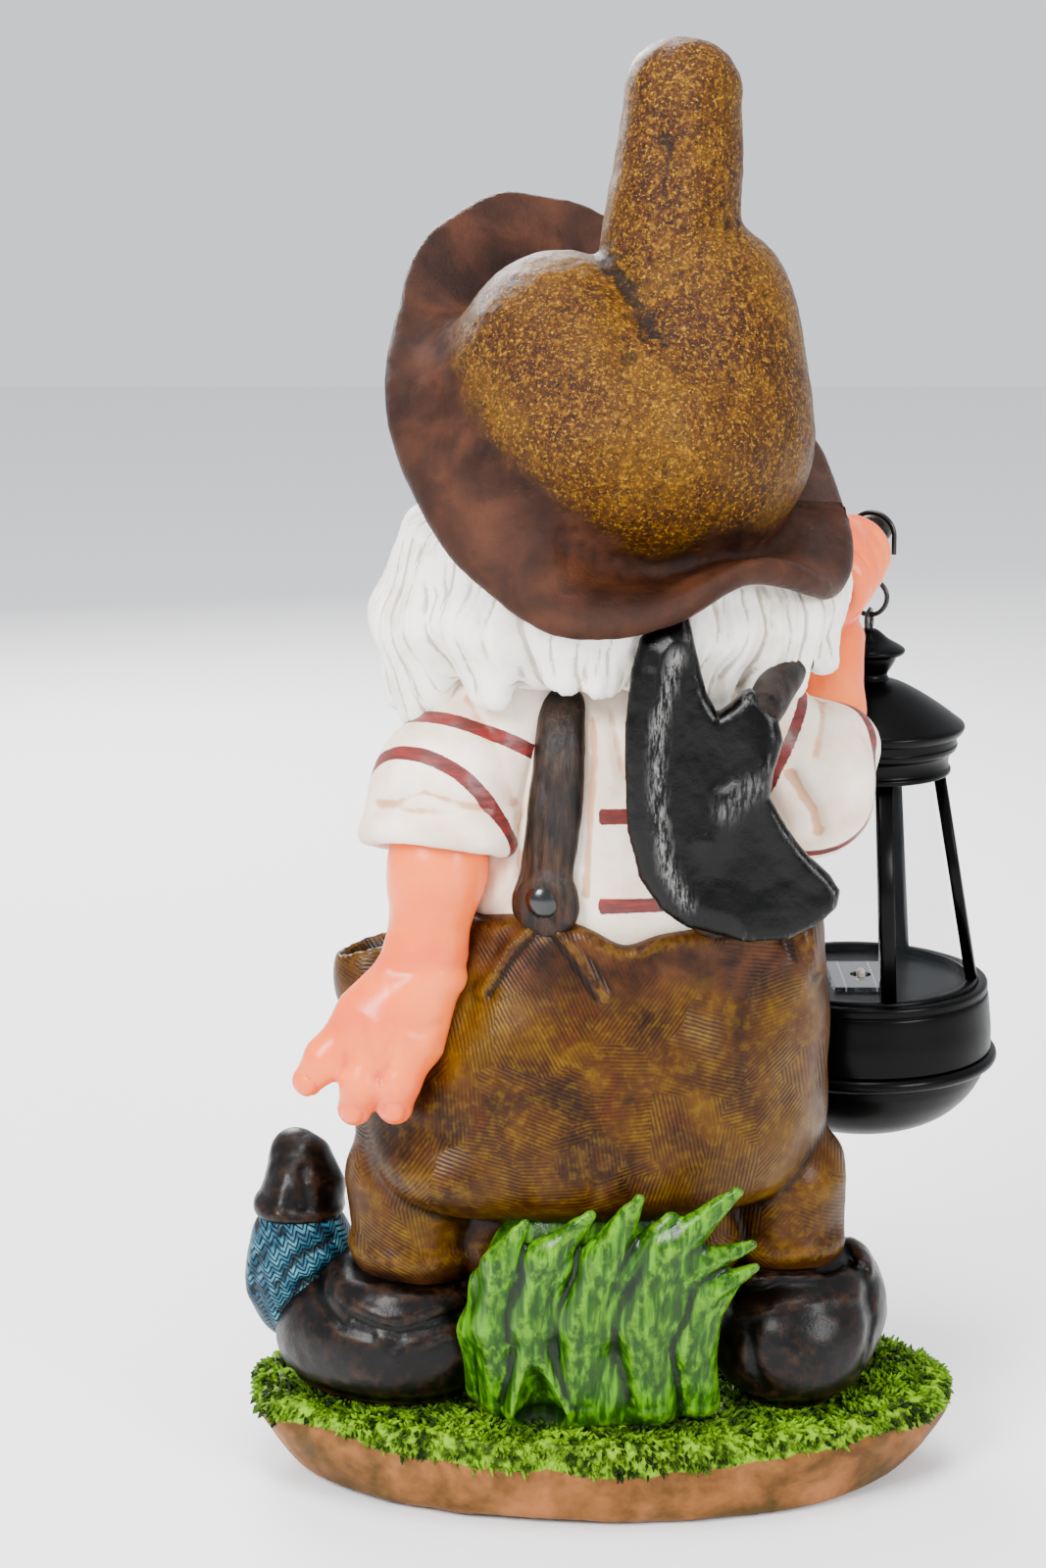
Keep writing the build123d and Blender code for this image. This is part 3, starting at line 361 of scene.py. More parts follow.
# %% Camera
lens = bpy.data.cameras.new("camera")
lens.lens, lens.sensor_width, lens.sensor_fit = 72.0, 36.0, "AUTO"
lens.clip_start, lens.clip_end = 0.05, 50.0
camera = bpy.data.objects.new("camera", lens)
camera.location = (0.039, 1.472, 0.670)
camera.rotation_euler = (math.radians(77.66), 0.0, math.radians(180.0))
bpy.context.scene.collection.objects.link(camera)
bpy.context.scene.camera = camera


# %% Floor, lamps and sky
def studio_floor(half=6.0):
    """A pale floor, wide enough for every side."""
    mesh = bpy.data.meshes.new("studio_floor")
    mesh.from_pydata([(-half, -half, 0), (half, -half, 0), (half, half, 0), (-half, half, 0)], [],
                     [(0, 1, 2, 3)])
    floor = bpy.data.objects.new("studio_floor", mesh)
    paper = bpy.data.materials.new("pale_paper")
    paper.use_nodes = True
    shader = next(n for n in paper.node_tree.nodes if n.type == "BSDF_PRINCIPLED")
    shader.inputs["Base Color"].default_value = (0.86, 0.86, 0.86, 1)
    shader.inputs["Roughness"].default_value = 0.9
    mesh.materials.append(paper)
    bpy.context.scene.collection.objects.link(floor)


def softbox(name, place, aim, size, watts):
    light = bpy.data.lights.new(name, "AREA")
    light.shape, light.size, light.energy = "SQUARE", size, watts
    lamp = bpy.data.objects.new(name, light)
    lamp.location = place
    lamp.rotation_euler = (Vector(aim) - Vector(place)).to_track_quat("-Z", "Y").to_euler()
    bpy.context.scene.collection.objects.link(lamp)


studio_floor()
softbox("key_lamp", (1.35, 1.7, 1.7), (0, 0, 0.35), 0.9, 125)
softbox("fill_lamp", (-1.7, 1.7, 1.2), (0, 0, 0.3), 0.9, 62)
softbox("top_lamp", (0.1, 0.3, 2.3), (0, 0, 0.3), 1.0, 56)
softbox("front_lamp", (0.6, -2.0, 1.4), (0, 0, 0.35), 1.1, 80)
sky = bpy.data.worlds.new("studio_sky")
sky.use_nodes = True
backdrop = next(n for n in sky.node_tree.nodes if n.type == "BACKGROUND")
backdrop.inputs["Color"].default_value = (0.93, 0.95, 1.0, 1)
backdrop.inputs["Strength"].default_value = 1.1
bpy.context.scene.world = sky


# %% [markdown]
# ## Paint
# The painter's order is base coat, mottling with a sponge, a dark wash that runs into the
# creases, and a lighter dry brush over what stands proud. The wash also stands for painted
# shade in creases and broad hollows, and the dry brush for a painted highlight on what stands
# proud. Each finish below is built in that order from a few small helpers, and reads the crease
# and form values that were stored on the mesh when it was cast.

# %% Small helpers for node trees
def linear(red, green, blue):
    """A colour named in 0-255 steps, as light values, deepened as varnish deepens paint."""
    light = [(c / 255.0 / 12.92 if c < 11 else ((c / 255.0 + 0.055) / 1.055) ** 2.4)
             for c in (red, green, blue)]
    return tuple(value**1.35 * max(light) for value in light) + (1.0,)


class Paint:
    """One finish: a material whose nodes are added in the order in which paint goes on."""

    def __init__(self, slot, roughness=0.5, gloss=0.5, coat=0.0, coat_roughness=0.2):
        self.material = bpy.data.materials.new(slot)
        self.material.use_nodes = True
        self.nodes, self.links = self.material.node_tree.nodes, self.material.node_tree.links
        self.shader = next(n for n in self.nodes if n.type == "BSDF_PRINCIPLED")
        self.shader.inputs["Roughness"].default_value = roughness
        self.shader.inputs["Specular IOR Level"].default_value = gloss
        self.shader.inputs["Coat Weight"].default_value = coat
        self.shader.inputs["Coat Roughness"].default_value = coat_roughness
        self.place = self.add("ShaderNodeTexCoord").outputs["Object"]
        self.height = None
        FINISHES[slot] = self.material

    def add(self, kind, **settings):
        node = self.nodes.new(kind)
        for key, value in settings.items():
            setattr(node, key, value)
        return node

    def put(self, socket, value):
        if hasattr(value, "links"):
            self.links.new(value, socket)
        else:
            socket.default_value = value

    def sum(self, kind, a, b=0.0, c=0.0, clamp=False):
        node = self.add("ShaderNodeMath", operation=kind, use_clamp=clamp)
        for i, value in enumerate((a, b, c)):
            self.put(node.inputs[i], value)
        return node.outputs[0]

    def layer(self, name):
        """A value that was stored on the mesh."""
        return self.add("ShaderNodeAttribute", attribute_name=name).outputs["Fac"]

    def spot(self, turn=(0, 0, 0), stretch=(1, 1, 1), shift=(0, 0, 0)):
        node = self.add("ShaderNodeMapping")
        node.inputs["Rotation"].default_value = turn
        node.inputs["Scale"].default_value = stretch
        node.inputs["Location"].default_value = shift
        self.links.new(self.place, node.inputs["Vector"])
        return node.outputs[0]

    def noise(self, size, detail=3.0, rough=0.55, warp=0.0, at=None):
        """Noise with lumps of the given size in millimetres."""
        node = self.add("ShaderNodeTexNoise")
        self.put(node.inputs["Vector"], at or self.place)
        node.inputs["Scale"].default_value = 1000.0 / size
        node.inputs["Detail"].default_value = detail
        node.inputs["Roughness"].default_value = rough
        node.inputs["Distortion"].default_value = warp
        return node.outputs["Fac"]

    def between(self, value, low, high):
        """0 below low, 1 above high, smooth between."""
        node = self.add("ShaderNodeMapRange", interpolation_type="SMOOTHSTEP")
        self.put(node.inputs["Value"], value)
        node.inputs["From Min"].default_value = low
        node.inputs["From Max"].default_value = high
        return node.outputs[0]

    def mix(self, share, a, b, kind="MIX"):
        node = self.add("ShaderNodeMix", data_type="RGBA", blend_type=kind)
        self.put(node.inputs[0], share)
        self.put(node.inputs[6], a)
        self.put(node.inputs[7], b)
        return node.outputs[2]

    def mottle(self, size, *colours, detail=4.0, warp=0.3, low=0.35, high=0.65, at=None):
        """A sponge's pattern: several colours spread over one noise."""
        node = self.add("ShaderNodeValToRGB")
        ramp = node.color_ramp
        while len(ramp.elements) < len(colours):
            ramp.elements.new(0.5)
        for i, colour in enumerate(colours):
            ramp.elements[i].position = low + (high - low) * i / max(1, len(colours) - 1)
            ramp.elements[i].color = colour
        self.put(node.inputs[0], self.noise(size, detail, 0.6, warp, at))
        return node.outputs[0]

    def raise_by(self, value, amount):
        """Add relief. The amount is in millimetres, for a value of one."""
        step = self.sum("MULTIPLY", value, amount)
        self.height = step if self.height is None else self.sum("ADD", self.height, step)

    def wash_and_shade(self, colour, into, dark, low=0.03, high=0.25, form_low=0.15, form_high=1.2):
        """Thin dark paint that has run into creases and broad hollows, which also stands for painted shade there.
        """
        # The share grows with the crease and broad hollow values: a wash and painted shade in the hollows.
        fine = self.between(self.layer("crease"), low, high)
        broad = self.between(self.layer("form"), form_low, form_high)
        share = self.sum("MAXIMUM", fine, self.sum("MULTIPLY", broad, 0.8))
        return self.mix(self.sum("MULTIPLY", share, into), colour, dark)

    def brush(self, colour, share, light, low=0.03, high=0.2):
        """A nearly dry brush that catches only what stands proud, which also stands for a painted highlight there.
        """
        # Lighter colour on proud places: a dry brush and a painted highlight.
        proud = self.between(self.sum("MULTIPLY", self.layer("crease"), -1.0), low, high)
        streak = self.between(self.noise(6, 4, 0.7), 0.4, 0.62)
        return self.mix(self.sum("MULTIPLY", self.sum("MULTIPLY", proud, streak), share), colour, light)

    def done(self, colour, roughness=None, metal=None):
        self.put(self.shader.inputs["Base Color"], colour)
        if roughness is not None:
            self.put(self.shader.inputs["Roughness"], roughness)
        if metal is not None:
            self.put(self.shader.inputs["Metallic"], metal)
        if self.height is not None:
            bump = self.add("ShaderNodeBump")
            bump.inputs["Strength"].default_value = 1.0
            bump.inputs["Distance"].default_value = 0.001
            self.links.new(self.height, bump.inputs["Height"])
            self.links.new(bump.outputs[0], self.shader.inputs["Normal"])
            self.links.new(bump.outputs[0], self.shader.inputs["Coat Normal"])
        return self.material


# %% [markdown]
# ### Hat felt
# The crown is sponged mustard over rust over dark brown and then varnished, with a gritty
# skin. The brim is nearly chocolate, with a rusty edge. The mesh carries a value, `brim`, that
# is 1 on the brim and fades up into the crown.

# %% Hat finish
def hat_finish():
    p = Paint("hat", gloss=0.06, coat=0.12, coat_roughness=0.2)
    fine = p.mottle(3.2, linear(52, 32, 16), linear(116, 66, 14), linear(150, 98, 12), linear(196, 152, 22),
                    detail=8, low=0.33, high=0.66)
    broad = p.mottle(45, linear(128, 66, 14), linear(150, 102, 16), linear(168, 124, 18), low=0.38,
                     high=0.62)
    crown = p.mix(0.5, broad, fine)
    pits = p.between(p.noise(2.0, 6, 0.8, at=p.spot(shift=(3, 1, 2))), 0.53, 0.62)
    crown = p.mix(p.sum("MULTIPLY", pits, 0.8), crown, linear(52, 32, 20))
    speck = p.between(p.noise(1.5, 6, 0.8), 0.54, 0.64)
    crown = p.mix(p.sum("MULTIPLY", speck, 0.8), crown, linear(216, 174, 34))
    # Darker in the crown's creases and hollows: a wash and painted shade.
    crown = p.wash_and_shade(crown, 0.8, linear(70, 42, 16), form_low=0.35, form_high=1.8)
    rim = p.mottle(30, linear(112, 72, 52), linear(130, 86, 62), linear(146, 98, 72))
    # The brim's proud places get a dry brush and a painted highlight, and its hollows get a wash and painted
    # shade.
    rim = p.brush(rim, 0.35, linear(128, 84, 60), 0.1, 0.5)
    rim = p.wash_and_shade(rim, 0.5, linear(78, 52, 38), 0.1, 0.5, 0.6, 2.6)
    edge = p.sum("ADD", p.layer("brim"), p.sum("MULTIPLY", p.sum("SUBTRACT", p.noise(14, 4), 0.5), 0.55))
    colour = p.mix(p.between(edge, 0.32, 0.72), crown, rim)
    p.raise_by(p.noise(1.6, 6, 0.8), 0.62)
    p.raise_by(p.noise(5.0, 4, 0.6), 0.55)
    rough = p.sum("MULTIPLY_ADD", p.noise(9, 5, 0.7), 0.42, 0.14)
    return p.done(colour, rough)


# %% [markdown]
# ### Hair, shirt and skin
# Hair and shirt are off-white with a warm shadow in every fold. The shirt's red bands are
# painted by hand round the sleeves and across the back, so their edges wander and the paint
# thins out in places.

# %% Hair finish
def hair_finish():
    p = Paint("hair", gloss=0.3)
    colour = p.mottle(22, linear(240, 232, 220), linear(248, 244, 236), linear(252, 250, 246), detail=5)
    # Warm darker colour in the folds is a wash and painted shade. The lighter crests are a dry brush and a painted
    # highlight.
    colour = p.wash_and_shade(colour, 0.62, linear(186, 158, 126), 0.05, 0.4, 0.35, 2.4)
    colour = p.brush(colour, 0.7, linear(250, 248, 244))
    p.raise_by(p.noise(2.6, 5, 0.65), 0.28)
    return p.done(colour, p.sum("MULTIPLY_ADD", p.noise(12, 4), 0.25, 0.3))


# %% Shirt finish
def shirt_finish():
    p = Paint("shirt", gloss=0.25)
    colour = p.mottle(35, linear(240, 218, 198), linear(246, 230, 214), linear(250, 240, 230), detail=5)
    # Peach colour in folds and hollows: a wash and painted shade.
    colour = p.wash_and_shade(colour, 0.8, linear(226, 176, 132), 0.03, 0.3, 0.2, 1.6)
    band = p.layer("band")
    ragged = p.sum("MULTIPLY", p.sum("SUBTRACT", p.noise(3.0, 5, 0.7), 0.5), 0.42)
    mask = p.between(p.sum("ADD", band, ragged), 0.42, 0.52)
    thin = p.noise(9, 5, 0.7, at=p.spot(stretch=(0.35, 0.35, 2.2)))
    red = p.mix(p.between(thin, 0.38, 0.66), linear(146, 8, 30), linear(184, 30, 50))
    colour = p.mix(p.sum("MULTIPLY", mask, 0.97), colour, red)
    p.raise_by(mask, 0.22)
    p.raise_by(p.noise(3.5, 5, 0.6), 0.22)
    rough = p.mix(mask, (0.5, 0.5, 0.5, 1), (0.24, 0.24, 0.24, 1))
    return p.done(colour, p.sum("ADD", rough, p.sum("MULTIPLY", p.noise(14, 4), 0.1)))


# %% Skin finish
def skin_finish():
    p = Paint("skin", gloss=0.25, coat=0.2, coat_roughness=0.25)
    colour = p.mottle(40, linear(244, 124, 54), linear(247, 134, 64), linear(250, 144, 76), detail=3)
    colour = p.mix(p.sum("MULTIPLY", p.layer("blush"), 0.75), colour, linear(238, 112, 66))
    # Redder, darker colour in creases and hollows: a wash and painted shade.
    colour = p.wash_and_shade(colour, 0.6, linear(226, 106, 62), 0.1, 0.5, 0.8, 3.0)
    pores = p.between(p.noise(2.0, 3, 0.6), 0.78, 0.82)
    colour = p.mix(p.sum("MULTIPLY", pores, 0.25), colour, linear(120, 70, 50))
    eye = p.layer("eye")
    colour = p.mix(p.between(eye, 0.5, 0.62), colour, linear(236, 232, 224))
    colour = p.mix(p.between(p.layer("iris"), 0.5, 0.56), colour, linear(74, 52, 36))
    colour = p.mix(p.between(p.layer("pupil"), 0.5, 0.6), colour, linear(12, 10, 10))
    colour = p.mix(p.sum("MULTIPLY", p.layer("lip"), 0.8), colour, linear(186, 78, 66))
    p.raise_by(p.noise(5, 3, 0.5), 0.16)
    p.raise_by(p.noise(1.2, 3, 0.6), 0.04)
    return p.done(colour, p.sum("MULTIPLY_ADD", p.noise(16, 4), 0.2, 0.24))


# %% [markdown]
# ### Breeches
# The sculptor combed the clay in short patches, each in its own direction, so the dark wash
# left a cross-hatch. Each patch is a Voronoi cell, and its random colour turns a wave pattern
# to its own angle. Towards the waist and the cuffs the paint is browner.

# %% Breeches finish
def combed(p, size, pitch, seed):
    """Fine parallel scratches in patches, each patch at its own angle."""
    cells = p.add("ShaderNodeTexVoronoi", voronoi_dimensions="3D")
    bent = p.add("ShaderNodeVectorMath", operation="ADD")
    wobble = p.add("ShaderNodeTexNoise")
    p.put(wobble.inputs["Vector"], p.spot(shift=(seed, seed, 0)))
    wobble.inputs["Scale"].default_value = 30.0
    scaled = p.add("ShaderNodeVectorMath", operation="SCALE")
    scaled.inputs["Scale"].default_value = 0.03
    p.put(scaled.inputs[0], wobble.outputs["Color"])
    p.put(bent.inputs[0], p.spot(shift=(seed, 0, seed)))
    p.put(bent.inputs[1], scaled.outputs[0])
    p.put(cells.inputs["Vector"], bent.outputs[0])
    cells.inputs["Scale"].default_value = 1000.0 / size
    tint = p.add("ShaderNodeSeparateColor")
    p.put(tint.inputs[0], cells.outputs["Color"])
    turn = p.add("ShaderNodeVectorRotate", rotation_type="Y_AXIS")
    p.put(turn.inputs["Vector"], p.place)
    p.put(turn.inputs["Angle"], p.sum("MULTIPLY", tint.outputs[0], 3.1))
    wave = p.add("ShaderNodeTexWave", wave_type="BANDS", bands_direction="X")
    p.put(wave.inputs["Vector"], turn.outputs[0])
    wave.inputs["Scale"].default_value = 314.16 / pitch
    wave.inputs["Distortion"].default_value = 1.6
    wave.inputs["Detail"].default_value = 2.0
    wave.inputs["Detail Scale"].default_value = 0.6
    return wave.outputs["Fac"]


def trouser_finish():
    p = Paint("trouser", gloss=0.06, coat=0.14, coat_roughness=0.2)
    base = p.mottle(40, linear(116, 70, 14), linear(146, 98, 14), linear(162, 122, 14), low=0.36, high=0.62)
    olive = p.mottle(5, linear(98, 62, 14), linear(138, 96, 16), linear(176, 146, 20), detail=8)
    colour = p.mix(0.3, base, olive)
    rust = p.between(p.noise(26, 5, 0.65, at=p.spot(shift=(5, 5, 5))), 0.56, 0.72)
    colour = p.mix(p.sum("MULTIPLY", rust, 0.6), colour, linear(146, 74, 16))
    scratch = combed(p, 36, 1.9, 3.0)
    patch = p.between(p.noise(30, 2), 0.3, 0.6)
    lines = p.sum("MULTIPLY", p.sum("SUBTRACT", 1.0, p.between(scratch, 0.1, 0.6)), patch)
    colour = p.mix(p.sum("MULTIPLY", lines, 0.62), colour, linear(58, 38, 14))
    # Browner towards the waist, the cuffs and the sides.
    waist = p.sum("ADD", p.layer("brown_zone"), p.sum("MULTIPLY", p.sum("SUBTRACT", p.noise(24, 5), 0.5), 0.7))
    brown = p.mottle(18, linear(104, 66, 40), linear(130, 86, 50), linear(148, 102, 62), detail=5)
    colour = p.mix(p.between(waist, 0.25, 0.85), colour, brown)
    # Darker in creases and hollows: a wash and painted shade. Lighter mustard on proud places: a dry brush and a
    # painted highlight.
    colour = p.wash_and_shade(colour, 0.75, linear(66, 42, 22), 0.05, 0.4, 0.3, 2.0)
    colour = p.brush(colour, 0.25, linear(190, 152, 48), 0.08, 0.4)
    p.raise_by(p.sum("MULTIPLY", scratch, patch), 0.16)
    p.raise_by(p.noise(2.0, 5, 0.7), 0.16)
    rough = p.sum("MULTIPLY_ADD", p.noise(12, 5, 0.7), 0.36, 0.24)
    return p.done(colour, rough)


# %% [markdown]
# ### Boots, sock and straps
# Boots look like oiled leather: dark, with broad soft highlights and lighter brown rubbed
# through; the lighter brown on proud places is also a painted highlight, and the darker brown in
# the creases a painted shade. The sock has a herringbone knit, drawn by two slanted waves that
# swap at every wale. The straps are painted as fur, with fine streaks down their length.

# %% Boot finish
def boot_finish():
    p = Paint("boot", gloss=0.1, coat=0.16, coat_roughness=0.26)
    colour = p.mottle(18, linear(40, 27, 22), linear(58, 40, 31), linear(78, 54, 40), detail=6)
    colour = p.mix(p.sum("MULTIPLY", p.between(p.noise(40, 4), 0.52, 0.7), 0.5), colour, linear(104, 70, 44))
    # Near-black in creases and hollows: a wash and painted shade. Lighter brown on proud places: rubbed leather
    # and a painted highlight.
    colour = p.wash_and_shade(colour, 0.85, linear(22, 15, 13), 0.03, 0.25, 0.25, 1.5)
    colour = p.brush(colour, 0.7, linear(126, 92, 66), 0.04, 0.25)
    p.raise_by(p.noise(3.0, 5, 0.6), 0.2)
    p.raise_by(p.noise(1.1, 3, 0.6, warp=1.0), 0.06)
    return p.done(colour, p.sum("MULTIPLY_ADD", p.noise(10, 5, 0.7), 0.3, 0.24))


# %% Sock finish
def sock_finish():
    p = Paint("sock", gloss=0.15)
    flow = p.add("ShaderNodeSeparateXYZ")
    p.put(flow.inputs[0], p.spot(turn=(0.25, -0.35, 0.4)))
    side = p.sum("MULTIPLY", flow.outputs[0], 1000.0 / 7.0)
    wale = p.sum("PINGPONG", p.sum("ADD", side, p.sum("MULTIPLY", flow.outputs[1], 90.0)), 0.5)
    slant = p.sum("ADD", p.sum("MULTIPLY", flow.outputs[2], 1000.0 / 2.4), p.sum("MULTIPLY", wale, 2.4))
    rib = p.sum("PINGPONG", slant, 0.5)
    knit = p.between(rib, 0.06, 0.3)
    colour = p.mix(knit, linear(24, 52, 68), p.mottle(9, linear(38, 102, 130), linear(66, 140, 166),
                                                      linear(112, 180, 196)))
    # Darker blue in creases and hollows: a wash and painted shade.
    colour = p.wash_and_shade(colour, 0.85, linear(16, 34, 44), 0.03, 0.25, 0.2, 1.2)
    p.raise_by(knit, 0.42)
    p.raise_by(p.between(wale, 0.02, 0.16), 0.3)
    return p.done(colour, 0.5)


# %% Strap finish
def strap_finish():
    p = Paint("strap", gloss=0.12, coat=0.2, coat_roughness=0.25)
    streaks = p.noise(5.0, 8, 0.7, warp=0.6, at=p.spot(stretch=(1.6, 1.6, 0.16)))
    colour = p.mix(p.between(streaks, 0.36, 0.66), linear(46, 30, 24), linear(132, 96, 66))
    colour = p.mix(p.between(p.noise(20, 4), 0.45, 0.7), colour, linear(82, 54, 40))
    # Darker in creases and hollows: a wash and painted shade.
    colour = p.wash_and_shade(colour, 0.8, linear(26, 17, 14), 0.03, 0.25, 0.3, 1.6)
    p.raise_by(streaks, 0.7)
    return p.done(colour, 0.42)


# %% [markdown]
# ### Turf and grass blades
# Both are sponged from bottle green up to a yellow-green dry brush, which on proud places is
# also a painted highlight, and a dark wash in the hollows is also painted shade. The side of the
# base is bare earth, a thin terracotta over clay with green run-down, and the mesh value `earth`
# says where the turf stops.

# %% Turf and grass finishes
def turf_finish():
    p = Paint("moss", gloss=0.08)
    green = p.mottle(6, linear(56, 84, 14), linear(112, 150, 16), linear(160, 196, 22), detail=7, low=0.3,
                     high=0.66)
    green = p.mix(p.sum("MULTIPLY", p.between(p.noise(38, 3), 0.42, 0.66), 0.5), green, linear(40, 74, 24))
    # Yellow-green on proud places is a dry brush and a painted highlight. The dark green in hollows is a wash and
    # painted shade.
    green = p.brush(green, 1.0, linear(162, 206, 44), 0.02, 0.14)
    green = p.wash_and_shade(green, 0.75, linear(24, 40, 16), 0.03, 0.2, 0.4, 1.6)
    earth = p.mottle(26, linear(158, 118, 70), linear(184, 134, 84), linear(200, 144, 96), detail=6)
    stain = p.between(p.noise(46, 4, at=p.spot(shift=(7, 2, 1))), 0.46, 0.64)
    earth = p.mix(p.sum("MULTIPLY", stain, 0.75), earth, linear(128, 118, 56))
    # Darker earth in creases and hollows: a wash and painted shade.
    earth = p.wash_and_shade(earth, 0.6, linear(70, 50, 34), 0.05, 0.4)
    wander = p.sum("SUBTRACT", p.noise(16, 5, 0.7), 0.5)
    ragged = p.sum("ADD", p.layer("earth"), p.sum("MULTIPLY", wander, 0.9))
    bare = p.between(ragged, 0.42, 0.58)
    colour = p.mix(bare, green, earth)
    p.raise_by(p.noise(1.6, 5, 0.7), 0.4)
    return p.done(colour, p.sum("MULTIPLY_ADD", p.noise(7, 4), 0.3, 0.36))


def blade_finish():
    p = Paint("tuft", gloss=0.08, coat=0.25, coat_roughness=0.2)
    streaks = p.noise(7.0, 4, 0.55, warp=0.2, at=p.spot(stretch=(2.0, 2.0, 0.16)))
    colour = p.add("ShaderNodeValToRGB")
    ramp = colour.color_ramp
    ramp.elements[0].position, ramp.elements[0].color = 0.38, linear(78, 132, 30)
    ramp.elements[1].position, ramp.elements[1].color = 0.66, linear(126, 190, 18)
    ramp.elements.new(0.5).color = linear(88, 150, 22)
    p.put(colour.inputs[0], streaks)
    # Dark green in the folds between blades: a wash and painted shade. Yellow-green on proud places: a dry brush
    # and a painted highlight.
    colour = p.wash_and_shade(colour.outputs[0], 0.9, linear(44, 90, 44), 0.03, 0.3, 0.3, 2.2)
    colour = p.brush(colour, 0.45, linear(150, 206, 30), 0.05, 0.3)
    p.raise_by(streaks, 0.4)
    p.raise_by(p.noise(1.5, 3), 0.08)
    return p.done(colour, p.sum("MULTIPLY_ADD", p.noise(9, 5, 0.7), 0.3, 0.2))


# %% [markdown]
# ### Axe
# The head is cast and painted black, then its edges were rubbed with silver-grey. The same
# silver-grey on the proud edges and along the spine is also a painted highlight. The handle
# is stained wood, with grain that runs along it.

# %% Axe finishes
def axe_finish():
    p = Paint("axe", gloss=0.05, coat=0.25, coat_roughness=0.13)
    colour = p.mottle(20, linear(10, 10, 11), linear(20, 20, 21), linear(34, 34, 34), detail=6)
    # Silver-grey on proud edges and along the spine: rubbed paint and a painted highlight.
    rubbed_and_highlight = p.sum("MULTIPLY", p.between(p.sum("MULTIPLY", p.layer("form"), -1.0), 1.0, 2.6), 0.8)
    scratch = p.between(p.noise(5, 8, 0.8, at=p.spot(stretch=(2.4, 1, 0.5))), 0.42, 0.66)
    share = p.sum("MULTIPLY", p.sum("MAXIMUM", p.sum("MULTIPLY", rubbed_and_highlight, scratch), p.layer("rubbed_and_highlight")), 0.7)
    colour = p.mix(p.sum("MULTIPLY", share, p.between(scratch, 0.0, 0.8)), colour, linear(190, 188, 186))
    p.raise_by(p.noise(2.4, 6, 0.7), 0.2)
    p.raise_by(p.noise(9, 3, 0.6), 0.2)
    return p.done(colour, p.sum("MULTIPLY_ADD", p.noise(6, 6, 0.75), 0.3, 0.14))


def handle_finish():
    p = Paint("handle", gloss=0.15)
    along = p.spot(turn=(0, 0, -0.33), stretch=(1, 0.08, 1))
    grain_lines = p.noise(4.0, 8, 0.65, warp=0.8, at=along)
    colour = p.mix(p.between(grain_lines, 0.36, 0.62), linear(44, 27, 20), linear(112, 74, 52))
    colour = p.mix(p.between(p.noise(1.2, 4, 0.7, at=along), 0.56, 0.66), colour, linear(30, 18, 14))
    p.raise_by(grain_lines, 0.6)
    return p.done(colour, p.sum("MULTIPLY_ADD", grain_lines, 0.25, 0.34))


# %% [markdown]
# ### Lantern
# The lantern is moulded black plastic with a fine spark texture and a satin sheen, and a fine
# dust flecks it a little. The chimney is clear plastic, so it is nearly transparent and glossy,
# with hardly any tint.

# %% Lantern finishes
def black_plastic_finish():
    p = Paint("lantern_black", gloss=0.05, coat=0.08, coat_roughness=0.15)
    colour = p.mottle(24, linear(12, 12, 13), linear(18, 18, 20), linear(24, 24, 26), detail=5)
    dust = p.between(p.noise(0.9, 3, 0.7), 0.72, 0.78)
    colour = p.mix(p.sum("MULTIPLY", dust, 0.35), colour, linear(110, 110, 112))
    p.raise_by(p.noise(0.6, 3, 0.6), 0.035)
    p.raise_by(p.noise(22, 2), 0.1)
    return p.done(colour, p.sum("MULTIPLY_ADD", p.noise(14, 5, 0.7), 0.2, 0.26))


def clear_finish():
    p = Paint("clear", gloss=0.5, coat=0.0)
    p.shader.inputs["Transmission Weight"].default_value = 0.0
    p.shader.inputs["IOR"].default_value = 1.45
    smear = p.noise(34, 5, 0.6)
    p.raise_by(p.noise(30, 2), 0.12)
    p.put(p.shader.inputs["Alpha"], p.sum("MULTIPLY_ADD", smear, 0.06, 0.04))
    return p.done(p.mix(smear, linear(120, 126, 130), linear(150, 156, 160)),
                  p.sum("MULTIPLY_ADD", smear, 0.06, 0.02))


def cell_finish():
    p = Paint("cell", gloss=0.6, coat=0.8, coat_roughness=0.04)
    place = p.add("ShaderNodeSeparateXYZ")
    p.put(place.inputs[0], p.place)
    finger = p.sum("PINGPONG", p.sum("MULTIPLY", place.outputs[1], 1000.0 / 4.2), 0.5)
    bus = p.sum("PINGPONG", p.sum("MULTIPLY", place.outputs[0], 1000.0 / 16.0), 0.5)
    lines = p.sum("MAXIMUM", p.sum("LESS_THAN", finger, 0.05), p.sum("LESS_THAN", bus, 0.03))
    crystal = p.mottle(5, linear(92, 96, 104), linear(120, 124, 132), linear(142, 146, 152), detail=2)
    return p.done(p.mix(lines, crystal, linear(200, 202, 204)), 0.12)


def plain_finish(slot, dark, light, size, roughness, metal=0.0, relief=0.05, gloss=0.5):
    """A small part's finish: two tones, a little relief and a varied gloss."""
    p = Paint(slot, gloss=gloss)
    p.raise_by(p.noise(size * 0.4, 4), relief)
    rough = p.sum("MULTIPLY_ADD", p.noise(size, 4), 0.2, roughness - 0.1)
    return p.done(p.mottle(size, dark, light, detail=5), rough, metal)


